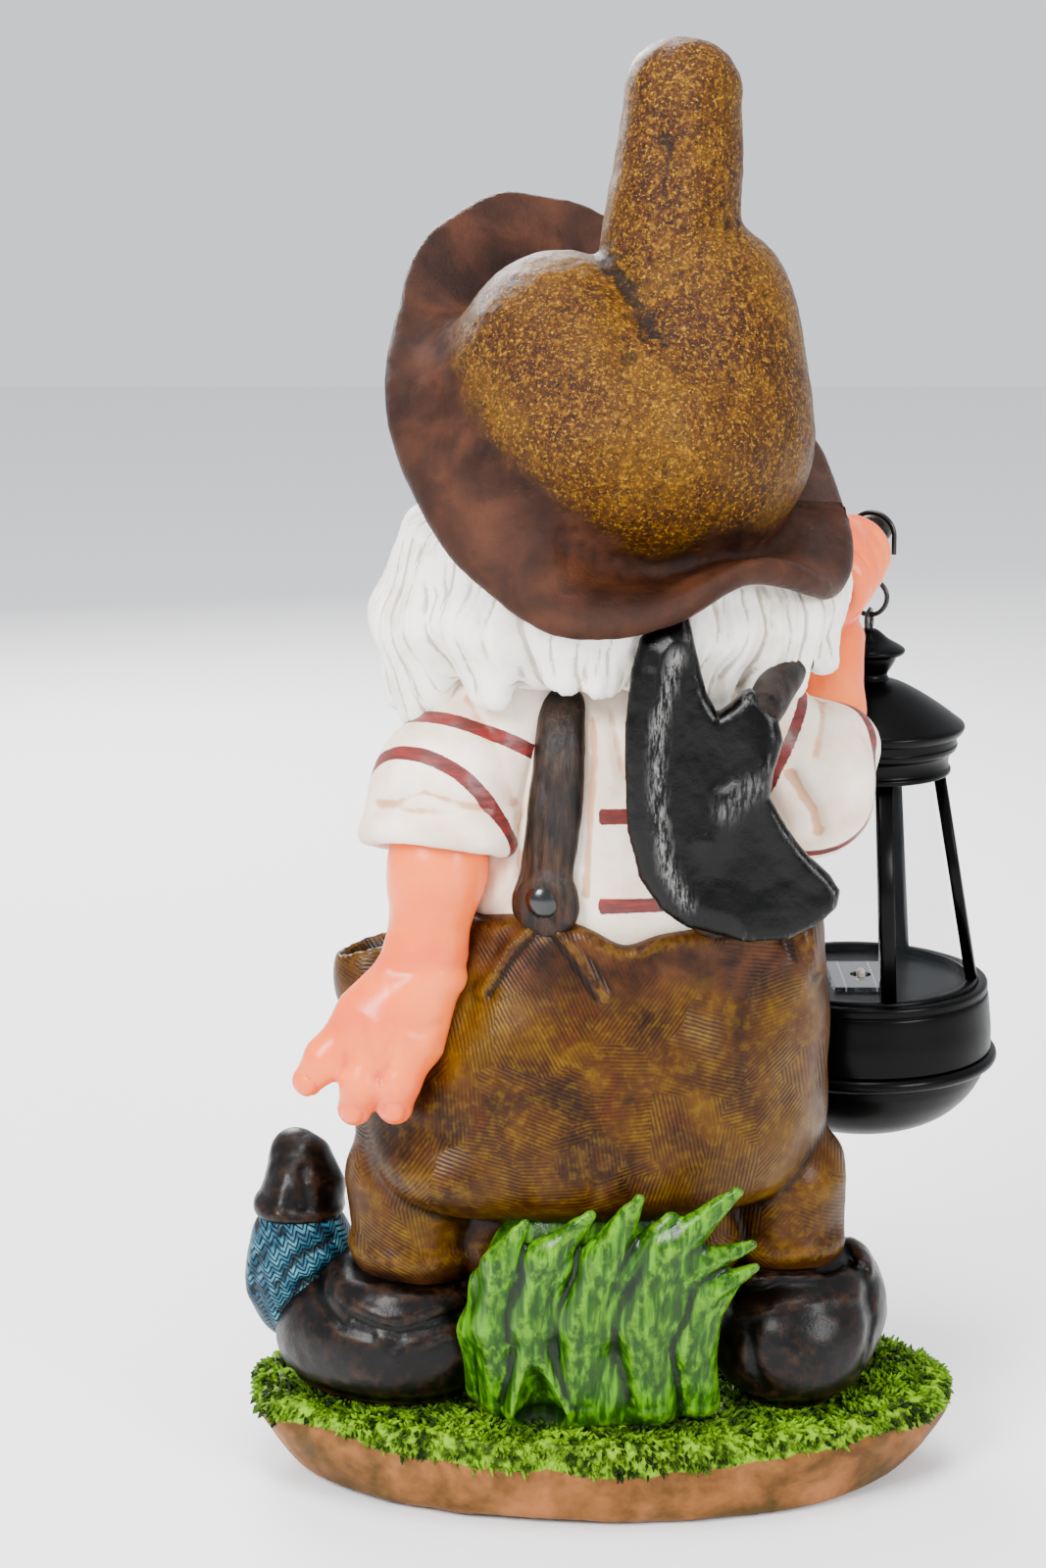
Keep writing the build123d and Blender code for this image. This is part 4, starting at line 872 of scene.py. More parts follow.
for build in (hat_finish, hair_finish, shirt_finish, skin_finish, trouser_finish, boot_finish, sock_finish,
              strap_finish, turf_finish, blade_finish, axe_finish, handle_finish, black_plastic_finish,
              clear_finish, cell_finish):
    build()
plain_finish("button", linear(8, 8, 9), linear(22, 22, 23), 8, 0.24, gloss=0.6)
plain_finish("plug", linear(20, 20, 20), linear(38, 37, 36), 9, 0.7)
plain_finish("wire", linear(14, 14, 14), linear(30, 30, 30), 6, 0.32)
plain_finish("led", linear(214, 212, 190), linear(240, 238, 220), 4, 0.16)
plain_finish("screw", linear(150, 150, 148), linear(190, 190, 186), 5, 0.36, metal=1.0)
plain_finish("seal", linear(16, 16, 16), linear(32, 32, 32), 6, 0.6)
plain_finish("cell_can", linear(30, 96, 52), linear(44, 128, 70), 12, 0.34)
plain_finish("contact", linear(160, 158, 150), linear(200, 198, 190), 5, 0.3, metal=1.0)
plain_finish("board", linear(18, 74, 40), linear(30, 100, 56), 6, 0.4)
print(len(FINISHES), "finishes mixed")


# %% [markdown]
# ## More sculptor's tools
# `tower` stacks ovals to a trunk, with a rounded top and bottom. `both` keeps what two fields
# share. `stroke` marks a line drawn on the back or the front, and is used to press a crease in
# or to raise a seam.

# %% Trunks, shared room and drawn lines
def at(origin, dx, dy, dz):
    """A place measured from a landmark."""
    return (origin[0] + dx, origin[1] + dy, origin[2] + dz)


def both(a, b, k):
    return -meld(-a, -b, k)


def eased(z, levels, values):
    """A smooth curve through values given at rising levels."""
    levels, values = np.asarray(levels, float), np.asarray(values, float)
    tilt = np.gradient(values, levels)
    i = np.clip(np.searchsorted(levels, z) - 1, 0, len(levels) - 2)
    h = levels[i + 1] - levels[i]
    t = np.clip((z - levels[i]) / h, 0, 1)
    a, b = values[i], values[i + 1]
    ease = t * t * (3 - 2 * t)
    bend = t * (1 - t) * ((1 - t) * tilt[i] - t * tilt[i + 1]) * h
    return (a + (b - a) * ease + bend).astype(np.float32)


def oval(P, x, y, a, b):
    """Distance to an upright oval column whose measures may change with height."""
    dx, dy = P[:, 0] - x, P[:, 1] - y
    k0 = np.sqrt((dx / a) ** 2 + (dy / b) ** 2) + 1e-6
    k1 = np.sqrt((dx / a**2) ** 2 + (dy / b**2) ** 2) + 1e-9
    return k0 * (k0 - 1) / k1


def tower(P, sections, soft=8.0):
    """Stacked ovals: height, middle x, middle y, half width, half depth."""
    s = np.array(sections)
    x, y, a, b = (eased(P[:, 2], s[:, 0], s[:, i]) for i in (1, 2, 3, 4))
    caps = np.maximum(s[0, 0] - P[:, 2], P[:, 2] - s[-1, 0])
    return both(oval(P, x, y, a, b), caps, soft)


def stroke(P, points, width, side=1, axes=(0, 2)):
    """1 along a drawn line, fading over its width. Side 1 is the back, -1 the front, 0 both."""
    q = P[:, axes]
    best = np.full(len(P), 1e9, np.float32)
    for start, end in zip(points[:-1], points[1:]):
        a, b = vec(*start), vec(*end)
        d = b - a
        h = np.clip(((q - a) @ d) / float(d @ d), 0, 1)
        best = np.minimum(best, ((q - a - h[:, None] * d) ** 2).sum(1))
    near = np.exp(-best / width**2)
    return near * (P[:, 1] * side > 0) if side else near


# %% [markdown]
# ## Hat
# On the real piece this is one thick felt form: a fat crown pulled up into a blunt finger, with
# a second lobe pushed against its foot, and a heavy brim that is turned up at one side and
# dropped at the nape. The crown is melted from eggs. The lobe is melded with a short fillet,
# which leaves the deep crease at the finger's foot. The brim is a bent plate whose height
# follows a dish with a wave.

# %% Hat brim
BRIM_C = at(CROWN_C, 6.0, -27.0, -19.0)
BRIM_R = 108.0


def brim_level(x, y):
    """Height of the brim's middle surface, and how far out a place is (1 at the rim)."""
    u, v = (x - BRIM_C[0]) / BRIM_R, (y - BRIM_C[1]) / BRIM_R
    out = np.sqrt(u * u + v * v)
    turn = np.arctan2(v, u)
    z = BRIM_C[2] + 38 * u - 81 * v - 19 * (2 * u * v + (u * u - v * v) / 3) - 24 * (1 - out**2)
    curl = 17 * np.exp(-(((turn - 2.12) / 0.30) ** 2)) - 10 * np.exp(-(((turn - 2.75) / 0.26) ** 2))
    curl -= 4 * np.exp(-(((turn - 1.25) / 0.4) ** 2)) + 9 * np.exp(-(((turn + 1.0) / 0.4) ** 2))
    z = z + curl * np.minimum(out, 1.1) ** 4
    z = z + 7.0 * np.exp(-(((out - 0.84) / 0.13) ** 2)) * (0.72 + 0.28 * np.cos(turn))
    return z, out, turn


def brim_field(P):
    x, y, z = P[:, 0], P[:, 1], P[:, 2]
    level, out, turn = brim_level(x, y)
    east, north = brim_level(x + 1, y)[0] - level, brim_level(x, y + 1)[0] - level
    flat = np.abs(z - level) / np.sqrt(1 + east**2 + north**2)
    half = 3.6 + 2.2 * np.clip((out - 0.6) / 0.3, 0, 1)
    wavy = 1.0 + 0.012 * np.sin(5 * turn + 1) + 0.008 * np.sin(11 * turn)
    edge = (out / wavy - 1) * BRIM_R + half
    return np.hypot(flat, np.maximum(edge, 0)) - half, (z - level) / np.sqrt(1 + east**2 + north**2)


# %% Hat crown, and the whole hat
def hat_field(P):
    crown = meld(egg(P, at(CROWN_C, -14, -4, -18), (67, 62, 64)),
                 egg(P, at(CROWN_C, -30, -16, 28), (45, 52, 52)), 20)
    foot, tip = at(CROWN_C, -12, -8, 30), at(CROWN_C, -19.5, -19, 134.5)
    crown = meld(crown, limb(P, foot, tip, 35.5, 27), 7)
    lobe = meld(egg(P, at(CROWN_C, 36, -6, 4), (52, 54, 62)),
                egg(P, at(CROWN_C, 16, 26, -10), (46, 40, 44)), 24)
    soft = 5.0 + 36.0 * np.clip((CROWN_C[2] + 30 - P[:, 2]) / 44, 0, 1)
    crown = meld(crown, lobe, soft)
    crown += 2.6 * swell(P, at(CROWN_C, -12, 14, 112), (7, 18, 34))
    crown += (3.0 * swell(P, at(CROWN_C, 8, 56, 26), (12, 22, 16))
              + 2.2 * swell(P, at(CROWN_C, -8, 66, -14), (13, 20, 36)))
    crown -= (2.0 * swell(P, at(CROWN_C, -34, 60, -16), (22, 22, 28))
              + 2.0 * swell(P, at(CROWN_C, 16, 66, 0), (18, 20, 20)))
    crown -= 1.2 * lumps(P, 26.0, 3) + 0.36 * grain(P, 4.4, 5)
    brim, above = brim_field(P)
    crown = both(crown, -(above + 2.0), 3.0)
    fillet = 17 + 28 * np.clip((P[:, 0] - CROWN_C[0]) / 40, 0, 1)
    return meld(crown, brim - 0.5 * lumps(P, 17.0, 11) - 0.12 * grain(P, 3.4, 8), fillet)


def hat_layers(P, N):
    level, out, _ = brim_level(P[:, 0], P[:, 1])
    above = P[:, 2] - level
    near_brim = np.clip(1.5 - above / (22 + 34 * np.clip((P[:, 0] - CROWN_C[0]) / 60, 0, 1)), 0, 1)
    return {"brim": np.where(above < -3, 1.0, np.clip((out - 0.42) / 0.34, 0, 1) * near_brim)}


cast("soft_hat", hat_field, (-122, -112, 436), (116, 116, 702), 1.9, "figure", ["hat"], "hat", hat_layers)


# %% [markdown]
# ## Breeches
# The seat is a big barrel that overhangs two short fat legs. The waist is a rolled edge that
# scoops down beside the strap. Two raised pleats fan out below the button, and a pocket gapes
# at the left hip. Legs and barrel are melded with a small fillet, so that the deep fold between
# them stays.

# %% Breeches
HIP = at((0, 0, SEAT_Z), 112, -40, 85.6)
PLEATS = (((36, 294), (44, 286), (58, 263)), ((23, 294), (14, 284), (2, 266)))


def waist_level(P):
    x = P[:, 0]
    back = eased(x, (-110, -70, -40, -24, -9, 10, 20, 40, 58, 90),
                 (293, 294, 295, 292, 287.5, 296, 300, 300, 295, 294))
    return np.where(P[:, 1] > 0, back, 294.0) + WAIST_SHIFT


def breeches_field(P):
    barrel = tower(P, [(SEAT_Z - 8, 6, 0, 104, 74), (SEAT_Z + 8, 6, -1, 112, 83),
                       (SEAT_Z + 26, 6, -2, 116, 89), (SEAT_Z + 54, 6, -4, 116.5, 92),
                       (SEAT_Z + 84, 1, -4, 112, 91), (SEAT_Z + 112, -5, -3, 102, 86),
                       (SEAT_Z + 150, -12, 0, 89, 80)], 19.0)
    barrel = meld(barrel, egg(P, (66, 34, SEAT_Z + 16), (44, 44, 26)), 10)
    barrel = meld(barrel, egg(P, (2, 10, SEAT_Z - 14), (66, 44, 22)), 14)
    for x in (-50, 58):
        barrel = meld(barrel, egg(P, (x, 16, SEAT_Z - 30), (21, 26, 24)), 10)
    top = both(barrel, P[:, 2] - waist_level(P), 5.0)
    inner = tower(P, [(WAIST_Z - 24, -12, 0, 82, 70), (WAIST_Z + 30, -12, 0, 82, 70)], 4.0)
    field = carve(top, inner, 3.0)
    left = meld(limb(P, (90, 14, SEAT_Z - 2), (91, 16, 119), 36, 31),
                egg(P, (90, 16, 122), (34.5, 33, 13)), 5)
    right = meld(limb(P, (-88, 8, SEAT_Z - 4), (-90, 10, 121), 33, 28),
                 egg(P, (-90, 10, 124), (31, 31, 13)), 5)
    field = meld(field, meld(left, right, 2), 4.0)
    field = meld(field, egg(P, at(HIP, 0, 0, 0), (22, 24, 30)), 10)
    field = carve(field, egg(P, at(HIP, 3.5, -1, 25), (17.5, 19, 26)), 3.5)
    field = meld(field, egg(P, (-92, 26, WAIST_Z - 16), (11, 26, 24)), 12)
    for pleat in PLEATS:
        shift = 3.4 if pleat[-1][0] < 10 else -3.4
        field -= 2.4 * stroke(P, pleat, 2.6)
        field += 1.2 * stroke(P, [(x + shift, z) for x, z in pleat], 2.2)
    field += (2.6 * stroke(P, ((60, 262), (84, 226), (112, 214)), 7)
              + 1.6 * stroke(P, ((-100, 262), (-84, 284)), 4))
    field -= 1.6 * stroke(P, ((-92, 300), (-96, 276), (-104, 262)), 5)
    return field - 1.2 * lumps(P, 40.0, 21) - 0.35 * lumps(P, 14.0, 4)


def breeches_layers(P, N):
    # Browner towards the waist, the cuffs and the sides of the barrel.
    brown_zone = np.clip((P[:, 2] - (WAIST_Z - 52)) / 44, 0, 1) * np.where(P[:, 1] > 0, 1, 0.7)
    cuffs = np.clip((128 - P[:, 2]) / 14, 0, 1) * 0.8
    sides = np.clip((np.abs(P[:, 0] - 5) - 92) / 26, 0, 1) * 0.55
    return {"brown_zone": np.maximum(np.maximum(brown_zone, cuffs), sides)}


cast("breeches", breeches_field, (-114, -98, 106), (142, 98, 306), 2.1, "figure",
     ["trousers", "left_leg", "right_leg"], "trouser", breeches_layers)


# %% [markdown]
# ## Shirt and sleeves
# The shirt is a soft barrel that fills the room between waist and shoulders. Each sleeve is a
# fat limb with a few folds. The left cuff is rolled and flared, and hollow round the forearm;
# the right one hangs as a bell. A red band is the set of points near a plane, and the nearness
# is stored on the mesh for the paint.

# %% Shirt
def trunk_field(P):
    return tower(P, [(WAIST_Z - 18, -12, 0, 80, 68), (WAIST_Z + 8, -12, 0, 86, 74),
                     (WAIST_Z + 40, -12, 0, 85, 73), (WAIST_Z + 66, -10, 0, 81, 69),
                     (WAIST_Z + 88, -8, 0, 74, 63), (WAIST_Z + 113, -6, -4, 52, 44)], 12.0)


def band(P, a, b, c, width):
    """1 on a band where the surface meets the plane through three points."""
    a, b, c = vec(*a), vec(*b), vec(*c)
    n = np.cross(b - a, c - a)
    n = n / np.linalg.norm(n)
    off = np.abs((P - a) @ n)
    return np.clip(1 - (off - width / 2 + 1.0) / 2.0, 0, 1)


def shirt_field(P):
    field = trunk_field(P)
    field -= (2.2 * stroke(P, ((44, 318), (52, 306), (58, 297)), 5)
              + 1.6 * stroke(P, ((38, 340), (46, 318)), 4))
    field += (1.6 * stroke(P, ((41, 392), (41, 350), (40, 318)), 3)
              + 1.2 * stroke(P, ((6, 390), (8, 350), (10, 312)), 3))
    field -= 1.4 * stroke(P, ((-6, 396), (-12, 372)), 4) + 1.4 * stroke(P, ((4, 392), (-2, 366)), 3)
    return field - 1.0 * lumps(P, 24.0, 31) - 0.25 * lumps(P, 8.0, 6)


def shirt_layers(P, N):
    x, z = P[:, 0], P[:, 2] - WAIST_SHIFT
    back = P[:, 1] > 0
    ends = np.where(back, np.clip(np.minimum(5.5 - x, x + 84) / 2.5, 0, 1),
                    np.clip((70 - np.abs(x + 9)) / 3, 0, 1))
    rows = [np.clip(1 - (np.abs(z + 0.03 * x - level) - 2.4) / 2.0, 0, 1) for level in (348.0, 306.5)]
    return {"band": np.maximum(rows[0], rows[1]) * ends}


cast("shirt_trunk", shirt_field, (-104, -80, WAIST_Z - 22), (82, 82, SHOULDER_Z + 6), 2.0, "figure",
     ["shirt"], "shirt", shirt_layers)


# %% Sleeves
def left_sleeve_field(P):
    upper = limb(P, (46, 18, 384), (74, 40, 352), 37, 34)
    lower = limb(P, (74, 40, 354), (81, 50, 316), 34, 38)
    sleeve = meld(upper, lower, 10)
    cut = vec(0.10, 0.30, -0.95)
    cut /= np.linalg.norm(cut)
    beyond = (P - vec(79, 50, 329)) @ cut
    sleeve = both(sleeve, beyond, 7.0)
    lip = np.hypot(beyond + 5.0, limb(P, (74, 40, 354), (83, 53, 300), 28.5, 32)) - 5.6
    sleeve = meld(sleeve, lip, 7)
    sleeve = carve(sleeve, limb(P, (77, 45, 342), (86, 57, 295), 23, 31), 5)
    sleeve += (1.6 * swell(P, (84, 62, 352), (24, 24, 3.0))
               + 1.3 * stroke(P, ((104, 352), (84, 360), (56, 352)), 2.6))
    sleeve += 1.5 * stroke(P, ((64, 398), (52, 378), (44, 352)), 4)
    return sleeve - 1.2 * lumps(P, 20.0, 41) - 0.2 * lumps(P, 7.0, 2)


def left_bands(P, N):
    first = band(P, (87, 40, 388), (66, 74, 397), (32.5, 60, 377), 6.5) * np.clip((P[:, 0] - 31) / 3, 0, 1)
    second = band(P, (88.3, 60, 371), (53.5, 80, 365.5), (40.6, 72, 343.8), 6.5)
    return {"band": np.maximum(first, second)}


cast("left_sleeve_cloth", left_sleeve_field, (4, -24, 306), (124, 98, 424), 1.7, "figure", ["left_sleeve"],
     "shirt", left_bands)


def right_sleeve_field(P):
    upper = limb(P, (-60, 10, 382), (-94, 16, 350), 36, 30)
    bell = meld(limb(P, (-94, 16, 350), (-106, -8, 362), 29, 27), egg(P, (-97, 14, 345), (28, 30, 26)), 12)
    sleeve = meld(upper, bell, 12)
    mouth = vec(-0.25, -0.78, 0.57)
    mouth /= np.linalg.norm(mouth)
    beyond = (P - vec(-109, -22, 368)) @ mouth
    sleeve = both(sleeve, beyond, 5)
    sleeve = carve(sleeve, limb(P, (-105, -8, 360), (-116, -46, 392), 20, 27), 4)
    sleeve += (3.2 * stroke(P, ((-86, 362), (-96, 346), (-99, 336)), 4)
               - 2.0 * stroke(P, ((-80, 356), (-88, 336)), 5))
    sleeve += 1.6 * stroke(P, ((-104, 392), (-98, 372)), 4)
    return sleeve - 1.1 * lumps(P, 20.0, 43) - 0.2 * lumps(P, 7.0, 3)


def right_bands(P, N):
    first = band(P, (-85.8, 34, 380.4), (-76.9, 52, 361), (-88, -20, 392), 5.5)
    second = band(P, (-109.5, 4, 374), (-113, 22, 345), (-96, 34, 326), 6.0)
    return {"band": np.maximum(first, second)}


cast("right_sleeve_cloth", right_sleeve_field, (-140, -52, 310), (-20, 54, 424), 1.7, "figure",
     ["right_sleeve"], "shirt", right_bands)


# %% [markdown]
# ## Hair
# Thick locks fan out from under the brim and hang to the shoulders. Each lock is a bent,
# tapering limb, and all of them are melded to one mass with small fillets, so that dark lines
# stay between them. Fine strands are a ripple that runs round the head and drifts sideways as
# it goes down.

# %% Hair
HAIR_C = at(HEAD_C, 2, 28, -48)
NAPE_LOCKS = (
    # turn, root height, tip height, tip reach, sideways drift, thickness
    (-24, 470, 404, 0.99, 4, 15), (-8, 470, 392, 0.98, 6, 15), (6, 470, 388, 0.94, 8, 14),
    (18, 468, 386, 0.92, 2, 12),
    (32, 466, 396, 0.90, -4, 14), (46, 464, 403, 0.93, 5, 14), (59, 462, 401, 0.95, -3, 14),
    (72, 460, 412, 0.97, 4, 14),
    (84, 458, 412, 0.96, -6, 14), (95, 458, 408, 0.95, -8, 13), (107, 458, 402, 0.96, -9, 13),
    (118, 460, 398, 0.97, -10, 13), (130, 462, 402, 0.97, -12, 13), (143, 464, 396, 0.98, -12, 13),
    (156, 466, 404, 1.0, -12, 13), (170, 468, 412, 1.02, -8, 14), (186, 470, 416, 1.0, -4, 15),
    (202, 470, 410, 0.98, 0, 14),
)


def hair_field(P):
    q = P - vec(*HAIR_C)
    field = both(egg(P, HAIR_C, (100, 63, 54)), 404 - P[:, 2], 12)
    for turn, root, tip, reach, drift, thick in NAPE_LOCKS:
        a, b = math.radians(turn), math.radians(turn + drift)
        start = (HAIR_C[0] + 84 * math.cos(a), HAIR_C[1] + 54 * math.sin(a), root)
        mid = (HAIR_C[0] + 97 * math.cos((a + b) / 2), HAIR_C[1] + 62 * math.sin((a + b) / 2),
               (root + tip) / 2 + 2)
        end = (HAIR_C[0] + 101 * reach * math.cos(b), HAIR_C[1] + 64 * reach * math.sin(b), tip + 3)
        field = meld(field, trail(P, (start, mid, end), (thick, thick * 1.02, 7.5), 8), 6.5)
    turn = np.arctan2(q[:, 1] / 66, q[:, 0] / 100)
    flow = turn * 84 + 0.16 * q[:, 2] * np.sin(2.3 * turn + 0.6) + 3.5 * grain(P, 22.0, 51)
    ripple = np.abs(np.sin(flow * (math.pi / 11.0)))
    field += 1.3 * (0.6 - ripple) + 0.3 * np.sin(flow * (2 * math.pi / 4.4) + 2.4 * grain(P, 9.0, 52))
    field = both(field, -(P[:, 1] + 36 - 0.1 * np.abs(q[:, 0])), 6)
    level, _, _ = brim_level(P[:, 0], P[:, 1])
    field = both(field, (P[:, 2] - level + 2.0) * 0.75, 2.0)
    return field - 1.0 * lumps(P, 20.0, 53)


cast("nape_hair", hair_field, (-122, -46, 368), (122, 92, 490), 1.7, "figure", ["hair"], "hair")


# %% [markdown]
# ## Head and face
# The face is calm and plain: eyes halfway up the head, one eye's width apart, the nose's
# underside halfway from eyes to chin. Eyeballs are set into shallow sockets and covered by two
# lids, and the painted iris and pupil are stored as values near the eye's axis.

# %% Head
EYES = (at(HEAD_C, -24, -53, 10), at(HEAD_C, 24, -53, 10))
NOSE = at(HEAD_C, 0, -70, -9)


def head_field(P):
    field = meld(egg(P, HEAD_C, (62, 61, 64)), egg(P, at(HEAD_C, 0, -22, -34), (46, 40, 36)), 18)
    for side, eye in zip((-1, 1), EYES):
        field += 5.0 * swell(P, eye, (15, 14, 11))
        field = meld(field, egg(P, at(eye, side * 8, -2, -26), (19, 15, 15)), 14)
        field = meld(field, trail(P, (at(eye, -side * 13, -6, 15), at(eye, 0, -7, 18),
                                      at(eye, side * 15, -1, 14)),
                                  (4.5, 5.0, 3.5), 3), 7)
    field = meld(field, limb(P, at(NOSE, 0, 13, 18), at(NOSE, 0, 1, 2), 5.5, 9), 9)
    field = meld(field, egg(P, NOSE, (12.5, 12, 11)), 6)
    for side in (-1, 1):
        field = meld(field, egg(P, at(NOSE, side * 9.5, 5, -2.5), (6.5, 7.5, 6)), 3.5)
        field += 2.6 * swell(P, at(NOSE, side * 5.5, -4, -10.5), (2.6, 4, 2.4))
        eye = EYES[0] if side < 0 else EYES[1]
        field = meld(field, egg(P, at(eye, 0, 0, 0), (11.0, 10.4, 10.4)), 1.2)
        upper = both(egg(P, at(eye, 0, 0, 0), (12.6, 12.0, 12.0)),
                     eye[2] + 3.4 - 0.025 * (P[:, 0] - eye[0]) ** 2 - P[:, 2], 1.0)
        lower = both(egg(P, at(eye, 0, 0, 0), (12.2, 11.6, 11.6)),
                     P[:, 2] - eye[2] + 5.2 - 0.02 * (P[:, 0] - eye[0]) ** 2, 1.0)
        field = meld(meld(field, upper, 1.5), lower, 1.5)
    return field - 0.25 * lumps(P, 14.0, 61)


def head_layers(P, N):
    eye = np.zeros(len(P), np.float32)
    iris, pupil = eye.copy(), eye.copy()
    blush = 0.9 * swell(P, at(NOSE, 0, -4, -2), (13, 14, 12))
    for side, centre in zip((-1, 1), EYES):
        q = P - vec(*centre)
        ball = np.sqrt(((q / vec(11.0, 10.4, 10.4)) ** 2).sum(1))
        on_ball = (ball < 1.035) & (q[:, 1] < -3)
        eye = np.maximum(eye, on_ball * 1.0)
        ring = np.hypot(q[:, 0], q[:, 2] + 0.6)
        iris = np.maximum(iris, on_ball * np.clip(1 - (ring - 4.6), 0, 1))
        pupil = np.maximum(pupil, on_ball * np.clip(1 - (ring - 2.1), 0, 1))
        blush = np.maximum(blush, 0.8 * swell(P, at(centre, side * 9, -14, -25), (15, 16, 13)))
    return {"eye": eye, "iris": iris, "pupil": pupil, "blush": blush}


cast("head_and_face", head_field, (-72, -102, 404), (64, 52, 552), 1.5, "figure", ["head"], "skin",
     head_layers)


# %% [markdown]
# ## Beard, moustache and brows
# The beard is one tapering mass with locks melded over it and a curled tip. The moustache is
# two swept handles below the nose, and the brows are two short bushes. Strands run down and a
# little outwards from the chin.

# %% Beard
BEARD_LOCKS = [(x, -1 if x < 0 else 1) for x in (-50, -38, -26, -14, -3, 8, 19, 31, 43)]


def beard_field(P):
    x0 = HEAD_C[0]
    field = tower(P, [(WAIST_Z + 26, x0 - 2, -86, 10, 7), (WAIST_Z + 50, x0, -82, 27, 15),
                      (WAIST_Z + 86, x0, -74, 43, 25), (WAIST_Z + 128, x0, -62, 54, 30),
                      (WAIST_Z + 172, x0, -50, 60, 26)], 16.0)
    for i, (x, side) in enumerate(BEARD_LOCKS):
        low = WAIST_Z + 22 + 1.05 * abs(x + 3) + (6 if i % 2 else 0)
        top = (x0 + x * 1.12, -74 + 0.34 * abs(x), WAIST_Z + 150)
        mid = (x0 + x * 0.86, -97 + 0.36 * abs(x), WAIST_Z + 96 + 4 * (i % 3))
        end = (x0 + x * 0.52 + 4 * side, -93 + 0.2 * abs(x), low)
        field = meld(field, trail(P, (top, mid, end), (9, 10, 2.8), 6), 5.0)
    q = P - vec(x0, -40, WAIST_Z + 190)
    flow = np.arctan2(q[:, 0], -q[:, 2] * 0.8 + 30) * 92 + 3.2 * grain(P, 20.0, 71)
    field += (1.3 * (0.6 - np.abs(np.sin(flow * math.pi / 9.0)))
              + 0.38 * np.sin(flow * 2 * math.pi / 3.2 + 2 * grain(P, 8.0, 72)))
    field = carve(field, egg(P, at(HEAD_C, 0, -38, -1), (41, 60, 34)), 4)
    lip = at(NOSE, 0, -2, -15)
    for side in (-1, 1):
        sweep = trail(P, (lip, at(lip, side * 18, 1, -6), at(lip, side * 38, 12, -10),
                          at(lip, side * 54, 26, 0)),
                      (6.5, 10.5, 8.5, 2.6), 6)
        strand = np.sin((P[:, 2] + 0.25 * np.abs(P[:, 0] - x0)) * 2 * math.pi / 3.6 + 1.4
                        * grain(P, 9.0, 73))
        field = meld(field, sweep + 0.45 * strand, 2.0)
    return field - 0.4 * lumps(P, 15.0, 74)


cast("full_beard", beard_field, (-80, -122, WAIST_Z + 8), (74, -18, WAIST_Z + 186), 1.6, "figure",
     ["beard"], "hair")


# %% Brows
def brow_field(P):
    field = np.full(len(P), 1e3, np.float32)
    for side, eye in zip((-1, 1), EYES):
        arch = trail(P, (at(eye, -side * 14, -12, 17), at(eye, side * 1, -13, 21.5),
                         at(eye, side * 18, -6, 16)), (4, 5.5, 2.4), 4)
        strand = np.sin((P[:, 0] * side + 0.9 * P[:, 2]) * 2 * math.pi / 3.2 + grain(P, 7.0, 75))
        field = meld(field, arch + 0.4 * strand, 1.0)
    return field


cast("brows", brow_field, (-62, -94, HEAD_C[2] + 10), (54, -40, HEAD_C[2] + 46), 1.1, "figure", [], "hair")


# %% [markdown]
# ## Hands
# The left arm hangs with the back of the hand turned out: a broad palm, one finger spread and
# the others down. The right hand holds the axe handle, so its four fingers are rings round the
# handle's line, melded to a palm.

# %% Left arm and hand
def flatter(P, y, share):
    """The same places with their depth stretched about a level, so that a limb comes out flat."""
    Q = P.copy()
    Q[:, 1] = y + (P[:, 1] - y) / share
    return Q


FINGERS = (
    # knuckle, middle joint, tip, radii
    ((117, 60, 246), (131, 63, 230), (140, 62, 219), (11.5, 9.8, 7.4)),
    ((107, 66, 240), (114, 69, 220), (118, 67, 207), (11.0, 9.8, 8.2)),
    ((91, 63, 238), (97, 68, 222), (99, 67, 208), (12.0, 10.4, 8.6)),
    ((82, 46, 246), (86, 40, 228), (90, 38, 216), (9.5, 8.6, 7.2)),
)


def left_arm_field(P):
    arm = trail(P, ((77, 45, 346), (79, 50, 318), (84, 53, 284)), (22.5, 22, 18.5), 8)
    palm = limb(flatter(P, 58, 0.74), (86, 57, 270), (100, 60, 246), 19, 27.5)
    hand = meld(arm, palm, 12)
    for knuckle, joint, tip, radii in FINGERS:
        finger = trail(P, (knuckle, joint, tip), radii, 5)
        hand = meld(hand, finger, 4.5)
        nail = at(tip, 1.2 if tip[0] > 110 else 0, radii[2] * 0.74, -1.5)
        hand -= 0.9 * swell(P, nail, (4.4, 4.5, 4.8))
        hand += 0.9 * (np.exp(-((np.sqrt((((P - vec(*nail)) / vec(5.6, 9, 6.2)) ** 2).sum(1)) - 1)
                                / 0.16) ** 2)) * (P[:, 1] > nail[1] - 3)
    hand += (1.1 * stroke(P, ((64, 273), (80, 277), (99, 273)), 3.4)
             - 1.4 * stroke(P, ((66, 265), (82, 268), (100, 265)), 7))
    hand += (1.2 * stroke(P, ((98, 250), (86, 247), (78, 249)), 3.4)
             + 1.0 * stroke(P, ((114, 248), (111, 236), (108, 226)), 3.4))
    hand += (1.3 * stroke(P, ((98, 245), (101, 234), (105, 224)), 3.4)
             - 1.2 * swell(P, (106, 78, 247), (9, 14, 5)))
    return hand - 0.35 * lumps(P, 12.0, 81)


def left_arm_layers(P, N):
    blush = (0.7 * stroke(P, ((126, 250), (112, 256), (92, 252)), 8)
             + 0.4 * stroke(P, ((112, 248), (108, 228)), 5))
    blush = np.maximum(blush, 0.75 * stroke(P, ((66, 280), (84, 282), (102, 276)), 7))
    return {"blush": np.maximum(blush, 0.6 * np.clip((226 - P[:, 2]) / 16, 0, 1))}


cast("left_hand_and_arm", left_arm_field, (50, 14, 192), (154, 92, 372), 1.5, "figure", ["left_arm"],
     "skin", left_arm_layers)


